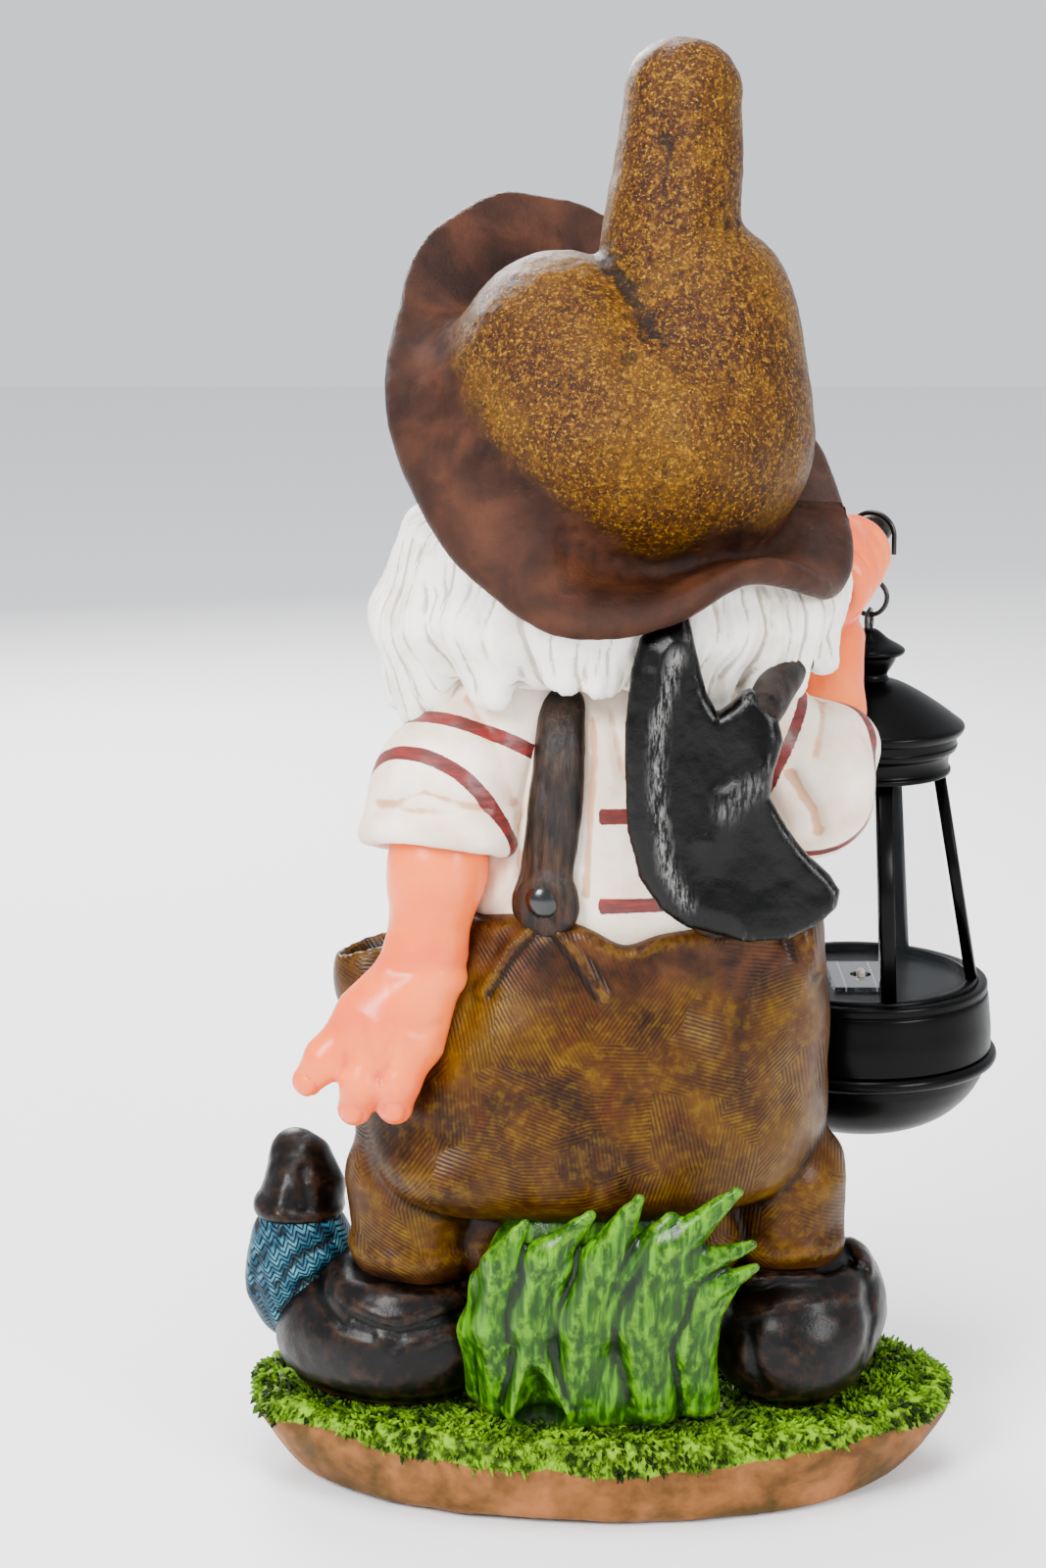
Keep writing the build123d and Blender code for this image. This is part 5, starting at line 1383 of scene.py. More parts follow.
# %% Right arm and fist
HOOK_SEAT = np.array(next(j for j in frame["joints"] if j["name"] == "hook_swing")["pos_m"]) * 1000.0
AXE_EYE = HOOK_SEAT + np.array([70.0, 208.0, -51.0])
ALONG = (HOOK_SEAT - AXE_EYE) / np.linalg.norm(HOOK_SEAT - AXE_EYE)
FIST = HOOK_SEAT - 58 * ALONG + np.array([2.0, 0.0, 4.0])


def right_arm_field(P):
    arm = trail(P, ((-98, 4, 352), (-105, -24, 378), (-112, -50, 410)), (21, 21, 17), 8)
    q = P - vec(*FIST)
    along = q @ vec(*ALONG)
    radial = np.sqrt(np.maximum((q**2).sum(1) - along**2, 1e-6))
    palm = meld(egg(P, tuple(FIST - np.array([-7, -6, 8])), (16, 24, 30)),
                egg(P, tuple(FIST + [3, 4, 14]), (14, 17, 13)), 6)
    fist = meld(arm, palm, 10)
    for k, thick in ((-23, 7.4), (-8.5, 8.0), (6, 8.2), (20, 7.6)):
        ring = np.hypot(along - k, (radial - 12.5)) - thick
        fist = meld(fist, ring, 3.4)
    fist += 1.5 * stroke(P, ((-104, 414), (-124, 420), (-140, 414)), 3, 0)
    return fist - 0.3 * lumps(P, 12.0, 82)


def right_arm_layers(P, N):
    q = P - vec(*FIST)
    along = q @ vec(*ALONG)
    between = np.abs(np.sin((along + 23) * math.pi / 15.0))
    near = np.clip(1 - (np.sqrt((q**2).sum(1)) - 30) / 16, 0, 1)
    return {"blush": np.maximum((1 - between) * near * 0.8,
                                0.6 * swell(P, tuple(FIST + np.array([8, 26, -22])), (22, 22, 16)))}


cast("right_fist_and_arm", right_arm_field, (-166, -130, 330), (-74, 30, 490), 1.5, "figure", ["right_arm"],
     "skin", right_arm_layers)


# %% [markdown]
# ## Straps and buttons
# A strap is a thick band laid on the trunk. Its field is the room close above the trunk's own
# surface, cut to a strip, so it follows every bulge. Fur streaks run down it, the upper end is
# a smooth rolled tip, and at its foot a loop goes round a domed button.

# %% Straps
def strap_field(line, side):
    def field(P):
        z = P[:, 2]
        middle_x = eased(z, [p[1] for p in line][::-1], [p[0] for p in line][::-1])
        wide = eased(z, [p[1] for p in line][::-1], [p[2] for p in line][::-1])
        thick = 7.0 + 1.5 * np.exp(-(((z - (line[0][1] - 8)) / 9) ** 2))
        strip = np.abs(P[:, 0] - middle_x) - wide
        room = trunk_field(P)
        body = both(both(strip, np.abs(room - 1.0) - thick, 7.0),
                    np.maximum(z - line[0][1], line[-1][1] - z), 6.0)
        loop = np.hypot(np.hypot(P[:, 0] - line[-1][0], z - (WAIST_Z + 11)) - 10.5, room - 4.5) - 5.2
        body = meld(body, loop, 5)
        streak = grain(P * vec(1, 1, 0.16), 3.0, 91) * np.clip((line[0][1] - 22 - z) / 10, 0, 1)
        body = both(body, -side * P[:, 1], 4)
        return body - 0.6 * streak - 0.5 * lumps(P, 10.0, 92)

    return field


BACK_LEFT = ((21, 402, 10.5), (22, 380, 11.5), (25, 345, 12.5), (28, 318, 12.0), (28.5, 300, 11.0))
BACK_RIGHT = ((-46, 402, 10.5), (-47, 380, 11.5), (-49, 345, 12.5), (-51, 318, 12.0), (-51.5, 300, 11.0))
FRONT_LEFT = ((34, 402, 10.5), (37, 372, 12.0), (40, 340, 12.5), (40, 318, 12.0), (40, 300, 11.0))
FRONT_RIGHT = ((-52, 402, 10.5), (-55, 372, 12.0), (-58, 340, 12.5), (-58, 318, 12.0), (-58, 300, 11.0))
for name, line, side in (("back_left", BACK_LEFT, 1), ("back_right", BACK_RIGHT, 1),
                         ("front_left", FRONT_LEFT, -1), ("front_right", FRONT_RIGHT, -1)):
    x = line[2][0]
    low, high = ((x - 22, 34, 290), (x + 22, 98, 410)) if side > 0 else ((x - 22, -100, 290),
                                                                         (x + 22, -30, 410))
    cast(f"strap_{name}_fur", strap_field(line, side), low, high, 1.4, "figure", [f"strap_{name}"], "strap")


# %% Buttons
def buttons_field(P):
    field = np.full(len(P), 1e3, np.float32)
    for line, side in ((BACK_LEFT, 1), (BACK_RIGHT, 1), (FRONT_LEFT, -1), (FRONT_RIGHT, -1)):
        x, z = line[-1][0], WAIST_Z + 15
        y = side * (TRUNK_FACE[line] + 6.5)
        dome = egg(P, (x, y, z), (8.6, 5.6, 8.6))
        rim = np.hypot(np.hypot(P[:, 0] - x, P[:, 2] - z) - 8.2, P[:, 1] - y + side * 0.8) - 1.3
        field = np.minimum(field, meld(dome, rim, 1.0))
    return field


TRUNK_FACE = {}
for line, side in ((BACK_LEFT, 1), (BACK_RIGHT, 1), (FRONT_LEFT, -1), (FRONT_RIGHT, -1)):
    depth = np.linspace(0, 100, 400)
    probe = np.stack([np.full(400, line[-1][0]), side * depth, np.full(400, WAIST_Z + 15)],
                     1).astype(np.float32)
    TRUNK_FACE[line] = float(depth[np.argmax(trunk_field(probe) > 0)])
cast("strap_domes", buttons_field, (-74, -100, 298), (54, 100, 322), 0.8, "figure", ["strap_buttons"],
     "button")


# %% [markdown]
# ## Axe
# The head is a plate with the outline of a bearded axe. The sculptor thinned it to an edge at
# the left and left a raised spine behind the edge, a hump where blade and eye meet, and a thick
# eye. The field takes the distance to the outline, and the thickness follows from the distance
# to the cutting edge.

# %% Axe head
AXE_EDGE = ((36, 45), (47, 43), (56, 33), (60, 18), (62, -6), (62.5, -31), (60.5, -56), (55.5, -77),
            (46, -92), (33, -101))
AXE_BACK = ((18, -105), (4, -106), (-13, -105), (-27, -98), (-35, -90), (-36.5, -83), (-32, -76),
            (-22, -67), (-12, -54), (-4, -39), (-5.5, -26), (-9, -13), (-7, -1), (0, 6), (5, 10), (9, 8.5),
            (14, 3), (20, -1), (25, 9), (29.5, 26), (33, 43))


def axe_field(P):
    q = P[:, (0, 2)] - vec(AXE_EYE[0], AXE_EYE[2])
    ring = [vec(*p) for p in AXE_EDGE + AXE_BACK]
    best = np.full(len(P), 1e9, np.float32)
    blade = best.copy()
    inside = np.zeros(len(P), bool)
    for i, a in enumerate(ring):
        b = ring[(i + 1) % len(ring)]
        d = b - a
        h = np.clip(((q - a) @ d) / float(d @ d), 0, 1)
        gap = ((q - a - h[:, None] * d) ** 2).sum(1)
        best = np.minimum(best, gap)
        if i < len(AXE_EDGE):
            blade = np.minimum(blade, gap)
        cross = (a[1] > q[:, 1]) != (b[1] > q[:, 1])
        inside ^= cross & (q[:, 0] < d[0] * (q[:, 1] - a[1]) / (d[1] if abs(d[1]) > 1e-6 else 1e-6) + a[0])
    outline = np.where(inside, -1, 1) * np.sqrt(best)
    blade = np.sqrt(blade)
    half = np.minimum(2.0 + blade * 0.52, 8.2) - 1.6 * np.clip((blade - 14) / 14, 0, 1)
    half += 5.0 * np.exp(-((q[:, 0] / 13) ** 2) - ((q[:, 1] + 14) / 24) ** 2)
    hump = stroke(P, ((AXE_EYE[0] - 2, AXE_EYE[2] - 26), (AXE_EYE[0] + 16, AXE_EYE[2] - 40),
                      (AXE_EYE[0] + 22, AXE_EYE[2] - 58)), 7, 0)
    half += (3.2 * hump
             - 1.0 * stroke(P, ((AXE_EYE[0] + 4, AXE_EYE[2] - 52), (AXE_EYE[0] - 8, AXE_EYE[2] - 76)), 9, 0))
    field = both(outline, np.abs(P[:, 1] - AXE_EYE[1]) - half, 6.0)
    return field - 0.5 * lumps(P, 13.0, 101) - 0.12 * grain(P, 3.4, 102)


def axe_layers(P, N):
    # The spine line and the hump carry the rubbed silver-grey, which is also a painted highlight along the ridge.
    spine = stroke(P, [(AXE_EYE[0] + x - 13, AXE_EYE[2] + z)
                       for x, z in ((52, 26), (60, -6), (60, -40), (55, -72), (46, -88))], 3.2, 0)
    hump = stroke(P, ((AXE_EYE[0] + 3, AXE_EYE[2] - 32), (AXE_EYE[0] + 16, AXE_EYE[2] - 44)), 5, 0)
    return {"rubbed_and_highlight": np.clip(spine + 0.5 * hump, 0, 1)}


cast("axe_blade", axe_field, (-112, 76, 290), (0, 114, 456), 1.25, "figure", ["axe_head"], "axe", axe_layers)


# %% Axe handle
def handle_field(P):
    field = limb(P, tuple(AXE_EYE), tuple(HOOK_SEAT + 9 * ALONG), 9.3, 8.9)
    q = P - vec(*AXE_EYE)
    along = q @ vec(*ALONG)
    field = both(field, along - (float(np.linalg.norm(HOOK_SEAT - AXE_EYE)) + 10.5), 2.5)
    groove = grain(P @ np.diag(vec(1, 0.1, 1)), 2.6, 111)
    knots = 0.6 * np.exp(-(((along - 64) / 6) ** 2)) + 0.5 * np.exp(-(((along - 128) / 7) ** 2))
    return field + 0.3 * groove - knots - 0.35 * lumps(P, 16.0, 112)


cast("wooden_handle", handle_field, (-162, -138, 386), (-52, 112, 472), 1.3, "figure", ["axe_handle"],
     "handle")


# %% [markdown]
# ## Boots, sock and toe cap
# The boots are swollen ovals with a rolled collar at the ankle and a line above the sole. The
# left boot is turned out, its toe has worn through, and a knitted sock bulges from it under the
# curled toe cap. Wrinkles are pressed in and raised along drawn lines.

# %% Boots
def collar_roll(P, middle_at, half, height, thick):
    """A rolled edge round an ankle."""
    x, y = middle_at
    return np.hypot(oval(P, x, y, *half), P[:, 2] - height) - thick


def left_boot_field(P):
    field = meld(egg(P, (98, 24, 78), (47, 39, 37)), egg(P, (126, 6, 72), (36, 36, 32)), 16)
    field = meld(field, egg(P, (94, 16, 92), (40, 38, 22)), 12)
    field = meld(field, collar_roll(P, (93, 15), (37, 36), 105, 5.0), 5)
    field = both(field, SOLE_Z - P[:, 2], 4)
    field -= 1.8 * stroke(P, ((126, 104), (104, 99), (84, 101), (66, 105)), 4)
    field += (1.8 * stroke(P, ((120, 96), (98, 92), (72, 97)), 2.8)
              - 1.5 * stroke(P, ((74, 90), (92, 86), (100, 80)), 4))
    field += 1.6 * stroke(P, ((138, 100), (126, 92), (112, 90)), 3)
    ledge = np.exp(-(((P[:, 2] - SOLE_Z - 8) / 2.6) ** 2))
    field += 1.6 * ledge
    field -= 1.8 * stroke(P, ((59, 108), (58, 84), (60, 66)), 4.5)
    return field - 1.0 * lumps(P, 18.0, 121) - 0.2 * lumps(P, 6.0, 122)


def right_boot_field(P):
    field = meld(egg(P, (-92, 26, 79), (41, 40, 37)), egg(P, (-111, -32, 69), (35, 44, 30)), 18)
    field = meld(field, egg(P, (-96, 6, 90), (37, 36, 26)), 14)
    field = meld(field, egg(P, (-112, 2, 86), (28, 34, 32)), 14)
    field = meld(field, collar_roll(P, (-93, 10), (34, 33), 109, 5.5), 5)
    field = both(field, SOLE_Z - P[:, 2], 4)
    field += 2.0 * stroke(P, ((-64, 104), (-84, 111), (-108, 112), (-128, 110)), 2.6)
    field -= 1.6 * stroke(P, ((-64, 98), (-86, 105), (-110, 106), (-126, 103)), 3.4)
    field += 1.8 * stroke(P, ((-114, 122), (-127, 108), (-131, 88), (-124, 66)), 2.6, 0)
    field += 1.6 * np.exp(-(((P[:, 2] - SOLE_Z - 7) / 2.6) ** 2))
    field += 1.2 * stroke(P, ((-70, 92), (-72, 76), (-78, 64)), 3)
    return field - 1.0 * lumps(P, 18.0, 123) - 0.2 * lumps(P, 6.0, 124)


cast("left_boot_leather", left_boot_field, (44, -44, 42), (168, 68, 124), 1.8, "figure", ["left_boot"],
     "boot")
cast("right_boot_leather", right_boot_field, (-152, -82, 42), (-46, 70, 126), 1.8, "figure", ["right_boot"],
     "boot")


# %% Sock and toe cap
def sock_field(P):
    field = meld(egg(P, (150, -14, 95), (28, 31, 36)), egg(P, (150, -18, 112), (22, 24, 20)), 10)
    for line in (((134, 118), (150, 112), (160, 98)), ((130, 106), (148, 100), (158, 84)),
                 ((130, 92), (146, 86), (154, 72)), ((158, 122), (170, 108), (173, 92))):
        field += 2.2 * stroke(P, line, 2.8, 0)
        field -= 1.2 * stroke(P, [(x + 2, z - 6) for x, z in line], 4, 0)
    return field - 0.6 * lumps(P, 14.0, 125)


def toe_cap_field(P):
    path = ((152, -18, 122), (149, -22, 137), (151, -27, 150), (154, -30, 154))
    field = trail(P, path, (22.5, 18.5, 12, 9.5), 10)
    field = meld(field, np.hypot(oval(P, 151, -18, 19.5, 20), P[:, 2] - 128 - 0.1 * (P[:, 0] - 150))
                 - 3.0, 4)
    field = both(field, 125 - P[:, 2], 4)
    field += (1.2 * stroke(P, ((148, 150), (146, 134)), 3, 0)
              - 1.2 * stroke(P, ((158, 148), (160, 132)), 4, 0))
    return field - 0.8 * lumps(P, 14.0, 126) - 0.15 * lumps(P, 5.0, 127)


cast("knitted_sock", sock_field, (118, -50, 54), (182, 22, 134), 1.6, "figure", ["left_sock"], "sock")
cast("curled_toe_cap", toe_cap_field, (120, -50, 118), (180, 12, 174), 1.5, "figure", ["left_toe_cap"],
     "boot")


# %% [markdown]
# ## Grass tuft
# Between the legs stands one casting of broad blades that sweep up and to the right and end in
# points, with a hollow torn sheath at the lower left. A blade is a bent limb that has been
# pressed flat, with a fold down its middle. The blades overlap, each a little in front of the
# next.

# %% Grass tuft
BLADES = (
    # points (x, z) from root to tip, depth y at root and tip, half widths at root, belly and tip
    (((57, 60), (58, 92), (54, 120), (46, 138)), 46, 74, (10, 11, 3.0)),
    (((48, 58), (51, 98), (48, 134), (38, 158)), 54, 90, (12, 12, 2.6)),
    (((31, 58), (34, 104), (27, 138), (8, 163)), 54, 93, (13, 14, 2.8)),
    (((10, 58), (9, 104), (0, 138), (-15, 172)), 60, 95, (14, 15, 2.8)),
    (((-12, 60), (-9, 102), (-14, 134), (-30, 160)), 54, 90, (14, 14, 4.0)),
    (((-24, 58), (-18, 104), (-28, 142), (-60, 175)), 62, 95, (13, 15, 3.2)),
    (((-38, 60), (-32, 104), (-42, 134), (-68, 146)), 56, 86, (12, 12, 2.6)),
    (((-46, 58), (-41, 92), (-50, 122), (-70, 134)), 60, 84, (10, 11, 2.4)),
)


def blade_field(P, spine, root_y, tip_y, half):
    Q = P.copy()
    depth = np.interp(P[:, 2], (spine[0][1], spine[-1][1]), (root_y, tip_y)).astype(np.float32)
    Q[:, 1] = (P[:, 1] - depth) / 0.8
    points = [(x, 0, z) for x, z in spine]
    field = trail(Q, points, (half[0], half[1], half[1] * 0.8, half[2]), 8)
    crease = stroke(P, [(x - half[1] * 0.35, z - 3) for x, z in spine[1:]], 2.6, 0)
    edge = stroke(P, [(x + half[1] * 0.5, z - 4) for x, z in spine], 3.0, 0)
    return field + 1.0 * crease - 1.2 * edge


def tuft_field(P):
    core = both(egg(P, (4, 48, 96), (58, 27, 74)), 46 - P[:, 2], 4)
    field = core
    for spine, root_y, tip_y, half in BLADES:
        field = meld(field, blade_field(P, spine, root_y, tip_y, half), 3.4)
    sheath = limb(P, (31, 62, 58), (36, 76, 104), 18, 3.0)
    field = meld(field, sheath, 3)
    field = carve(field, limb(P, (31, 74, 52), (35.5, 86, 94), 13.5, 1.8), 2)
    return field - 0.5 * lumps(P * vec(1, 1, 0.4), 8.0, 131)


cast("grass_blades", tuft_field, (-80, 16, 44), (66, 108, 182), 1.5, "figure", ["grass_tuft"], "tuft")


# %% [markdown]
# ## Base
# The base is an oval mound: rough turf on top, and bare earth where it turns under. Its body is
# a stack of ovals with lumps, finer where the turf is, and the mesh keeps a value that says
# where the earth begins.

# %% Base mound
def mound_field(P):
    field = tower(P, [(0, 0, -4, 150, 84), (8, 0, -4, 158, 87), (20, 0, -4, 168, 90), (33, 0, -4, 174.5, 92),
                      (TURF_Z, 0, -4, 172, 89)], 5.0)
    side = np.clip((36 - P[:, 2]) / 10, 0, 1)
    field -= side * 2.2 * lumps(P, 42.0, 141) - side * 1.2
    turf = 1 - side
    field -= turf * (1.6 * lumps(P, 17.0, 142) + 0.9 * lumps(P, 6.0, 143))
    field = both(field, -P[:, 2], 1.0)
    return field - 0.2 * grain(P, 4.0, 144)


def mound_layers(P, N):
    drip = 7 * lumps(P * vec(1, 1, 0), 30.0, 145) - 5 * np.exp(-((P[:, 0] / 70) ** 2))
    return {"earth": np.clip((36 + drip - P[:, 2]) / 8 + 0.5, 0, 1)}


mound = cast("turf_mound", mound_field, (-178, -98, 0), (178, 90, 56), 2.4, "figure", ["base"], "moss",
             mound_layers)


# %% [markdown]
# ### Turf strokes
# The turf was stippled into the clay with a stiff brush, in thousands of strokes. Placed by
# hand they would look combed, so one stroke is scattered by a Geometry Nodes tree. `Recipe` is
# a short way to write such a tree. It names the inputs, adds nodes, and runs the tree on a mesh.

# %% Tools for Geometry Nodes
class Recipe:
    """A Geometry Nodes tree with named inputs, built step by step."""

    def __init__(self, name, **inputs):
        self.tree = bpy.data.node_groups.new(name, "GeometryNodeTree")
        self.tree.interface.new_socket("Geometry", in_out="INPUT", socket_type="NodeSocketGeometry")
        self.values = inputs
        for label, value in inputs.items():
            kind = {float: "NodeSocketFloat", int: "NodeSocketInt"}.get(type(value), "NodeSocketObject")
            if isinstance(value, bpy.types.Material):
                kind = "NodeSocketMaterial"
            self.tree.interface.new_socket(label, in_out="INPUT", socket_type=kind)
        self.tree.interface.new_socket("Geometry", in_out="OUTPUT", socket_type="NodeSocketGeometry")
        self.input = self.tree.nodes.new("NodeGroupInput")

    def add(self, kind, settings=None, **sockets):
        node = self.tree.nodes.new(kind)
        for key, value in (settings or {}).items():
            setattr(node, key, value)
        for key, value in sockets.items():
            numbered = key[0] == "i" and key[1:].isdigit()
            socket = node.inputs[int(key[1:]) if numbered else key.replace("_", " ")]
            if hasattr(value, "is_output"):
                self.tree.links.new(value, socket)
            else:
                socket.default_value = value
        return node.outputs

    def get(self, label):
        return self.input.outputs[label]

    def serve(self, geometry, carrier, name):
        """Run the recipe on a carrier mesh and give back a plain mesh object."""
        out = self.tree.nodes.new("NodeGroupOutput")
        self.tree.links.new(geometry, out.inputs[0])
        holder = bpy.data.objects.new(name + "_holder", carrier)
        bpy.context.scene.collection.objects.link(holder)
        modifier = holder.modifiers.new("recipe", "NODES")
        modifier.node_group = self.tree
        for item in self.tree.interface.items_tree:
            if item.in_out == "INPUT" and item.name in self.values:
                modifier[item.identifier] = self.values[item.name]
        bpy.context.view_layer.update()
        evaluated = holder.evaluated_get(bpy.context.evaluated_depsgraph_get())
        mesh = bpy.data.meshes.new_from_object(evaluated)
        holder.modifiers.remove(modifier)
        bpy.data.objects.remove(holder)
        mesh.name = name
        piece = bpy.data.objects.new(name, mesh)
        bpy.context.scene.collection.objects.link(piece)
        return piece


# %% Turf strokes
def stroke_mesh():
    """One short stroke of turf: a bent, tapering lump with a closed skin."""
    rings, sides = ((-0.6, 1.0, 0.0), (1.1, 1.0, 0.3), (2.6, 0.35, 1.8)), 4
    points, faces = [], []
    for z, r, lean in rings:
        for k in range(sides):
            a = 2 * math.pi * k / sides
            points.append(((lean + 1.5 * r * math.cos(a)) / 1000, 0.8 * r * math.sin(a) / 1000, z / 1000))
    for i in range(len(rings) - 1):
        for k in range(sides):
            a, b = i * sides + k, i * sides + (k + 1) % sides
            faces.append((a, b, b + sides, a + sides))
    faces += [tuple(range(sides))[::-1], tuple((len(rings) - 1) * sides + k for k in range(sides))]
    mesh = bpy.data.meshes.new("turf_stroke")
    mesh.from_pydata(points, [], faces)
    mesh.polygons.foreach_set("use_smooth", [True] * len(faces))
    blade = bpy.data.objects.new("turf_stroke", mesh)
    bpy.context.scene.collection.objects.link(blade)
    return blade


def turf_strokes():
    source = stroke_mesh()
    recipe = Recipe("turf scatter", Density=115000.0, Seed=7, Size=1.0, Stroke=source,
                    Finish=FINISHES["turf_stroke"])
    earth = recipe.add("GeometryNodeInputNamedAttribute", {"data_type": "FLOAT"}, Name="earth")["Attribute"]
    bare = recipe.add("FunctionNodeCompare", {"operation": "LESS_THAN", "data_type": "FLOAT"}, i0=earth,
                      i1=0.42)["Result"]
    spread = recipe.add("GeometryNodeDistributePointsOnFaces", {"distribute_method": "RANDOM"},
                        Mesh=recipe.get("Geometry"), Selection=bare, Density=recipe.get("Density"),
                        Seed=recipe.get("Seed"))
    spin = recipe.add("FunctionNodeRandomValue", {"data_type": "FLOAT"}, i2=-0.8, i3=0.8,
                      Seed=recipe.get("Seed"))[1]
    size = recipe.add("FunctionNodeRandomValue", {"data_type": "FLOAT"}, i2=0.6, i3=1.25,
                      Seed=recipe.get("Seed"))[1]
    down = recipe.add("FunctionNodeAlignRotationToVector", {"axis": "X", "pivot_axis": "Z"},
                      Rotation=spread["Rotation"], Vector=(0.0, 0.0, -1.0))["Rotation"]
    turned = recipe.add("FunctionNodeRotateRotation", {"rotation_space": "LOCAL"}, Rotation=down,
                        Rotate_By=recipe.add("FunctionNodeAxisAngleToRotation", None, Axis=(0.0, 0.0, 1.0),
                                             Angle=spin)["Rotation"])
    each = recipe.add("GeometryNodeObjectInfo", None, Object=recipe.get("Stroke"))["Geometry"]
    scale = recipe.add("ShaderNodeMath", {"operation": "MULTIPLY"}, i0=size, i1=recipe.get("Size"))[0]
    copies = recipe.add("GeometryNodeInstanceOnPoints", None, Points=spread["Points"], Instance=each,
                        Rotation=turned["Rotation"], Scale=scale)["Instances"]
    solid = recipe.add("GeometryNodeRealizeInstances", None, Geometry=copies)["Geometry"]
    coated = recipe.add("GeometryNodeSetMaterial", None, Geometry=solid,
                        Material=recipe.get("Finish"))["Geometry"]
    piece = recipe.serve(coated, mound.data.copy(), "turf_strokes")
    bpy.data.objects.remove(source)
    return piece


def stroke_finish():
    p = Paint("turf_stroke", gloss=0.1)
    lift = p.between(p.noise(9, 4), 0.35, 0.65)
    colour = p.mix(lift, linear(60, 104, 14), linear(156, 204, 24))
    colour = p.mix(p.between(p.noise(34, 3, at=p.spot(shift=(2, 4, 1))), 0.45, 0.68), colour,
                   linear(64, 106, 22))
    p.raise_by(p.noise(1.4, 3), 0.2)
    return p.done(colour, 0.5)


stroke_finish()
turf = turf_strokes()
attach(turf, "figure")
print("turf strokes:", len(turf.data.polygons), "faces")


# %% [markdown]
# ## Lantern shell
# The lantern's roof, finial, collar and bowl were turned or moulded round one axis, so each is
# a profile spun about it. The profile is a smooth curve through a few points, and a point that
# is written twice keeps a corner. The five bars are one bar, copied round the axis by Geometry
# Nodes, and the chimney is a thin clear cone.

# %% Spinning a profile
AXIS = middle("lantern_collar")[:2]


def smooth_profile(points, steps=6):
    """A curve through (radius, height) points. Doubled points stay sharp."""
    runs, run = [], [points[0]]
    for point in points[1:]:
        if point == run[-1]:
            runs.append(run)
            run = [point]
        else:
            run.append(point)
    runs.append(run)
    curve, corners = [], []
    for run in (r for r in runs if len(r) > 1):
        p = np.array([2 * np.array(run[0]) - run[1], *run, 2 * np.array(run[-1]) - run[-2]], float)
        for i in range(1, len(p) - 2):
            for t in np.arange(steps) / steps if len(run) > 2 else [0.0]:
                a, b, c, d = p[i - 1 : i + 3]
                curve.append(0.5 * (2 * b + (c - a) * t + (2 * a - 5 * b + 4 * c - d) * t**2
                                    + (3 * b - a - 3 * c + d) * t**3))
        corners.append(len(curve))
    curve.append(np.array(points[-1], float))
    return np.array(curve), corners[:-1]


def spun(name, points, body, nodes, slot, sides=128):
    """Spin a closed profile (radius, height in mm, running up the outside) about the lantern's axis."""
    curve, corners = smooth_profile(points)
    n = len(curve)
    turn = np.arange(sides) * 2 * math.pi / sides
    ring = np.stack([np.cos(turn), np.sin(turn)], 1)
    poles = [i for i in (0, n - 1) if curve[i][0] < 1e-6]
    places, index = [], []
    for i, (r, z) in enumerate(curve):
        index.append(len(places))
        if i in poles:
            places.append((AXIS[0], AXIS[1], z))
        else:
            places.extend(np.column_stack([AXIS[0] + r * ring[:, 0], AXIS[1] + r * ring[:, 1],
                                            np.full(sides, z)]).tolist())
    faces = []
    closed = not poles
    for i in range(n if closed else n - 1):
        j = (i + 1) % n
        for k in range(sides):
            m = (k + 1) % sides
            a, b = (index[i], index[i]) if i in poles else (index[i] + k, index[i] + m)
            d, c = (index[j], index[j]) if j in poles else (index[j] + k, index[j] + m)
            faces.append(tuple(dict.fromkeys((a, b, c, d))))
    mesh = bpy.data.meshes.new(name)
    mesh.from_pydata((np.array(places) / 1000).tolist(), [], faces)
    mesh.polygons.foreach_set("use_smooth", [True] * len(faces))
    level = np.zeros(len(places), int)
    for i in range(n):
        level[index[i] : (index[i + 1] if i + 1 < n else len(places))] = i
    mesh.update()
    edges = np.empty(len(mesh.edges) * 2, int)
    mesh.edges.foreach_get("vertices", edges)
    edges = level[edges.reshape(-1, 2)]
    flag = (edges[:, 0] == edges[:, 1]) & np.isin(edges[:, 0], corners + ([0, n - 1] if closed else []))
    mesh.attributes.new("sharp_edge", "BOOLEAN", "EDGE").data.foreach_set("value", flag)
    piece = bpy.data.objects.new(name, mesh)
    bpy.context.scene.collection.objects.link(piece)
    finish_piece(piece, body, nodes, slot)
    print(f"{name}: {len(faces) * 2} triangles")
    return piece


# %% Finial, roof, chimney, collar and bowl
NECK = span("lantern_roof")[1][2]
BOWL = span("lantern_bowl")[0][2]
RIM = NECK - 24.0
THROAT = span("lantern_roof")[0][2]
COLLAR = span("lantern_frame")[0][2]
BEAD = COLLAR - 34.0
APEX = span("lantern_finial")[1][2]

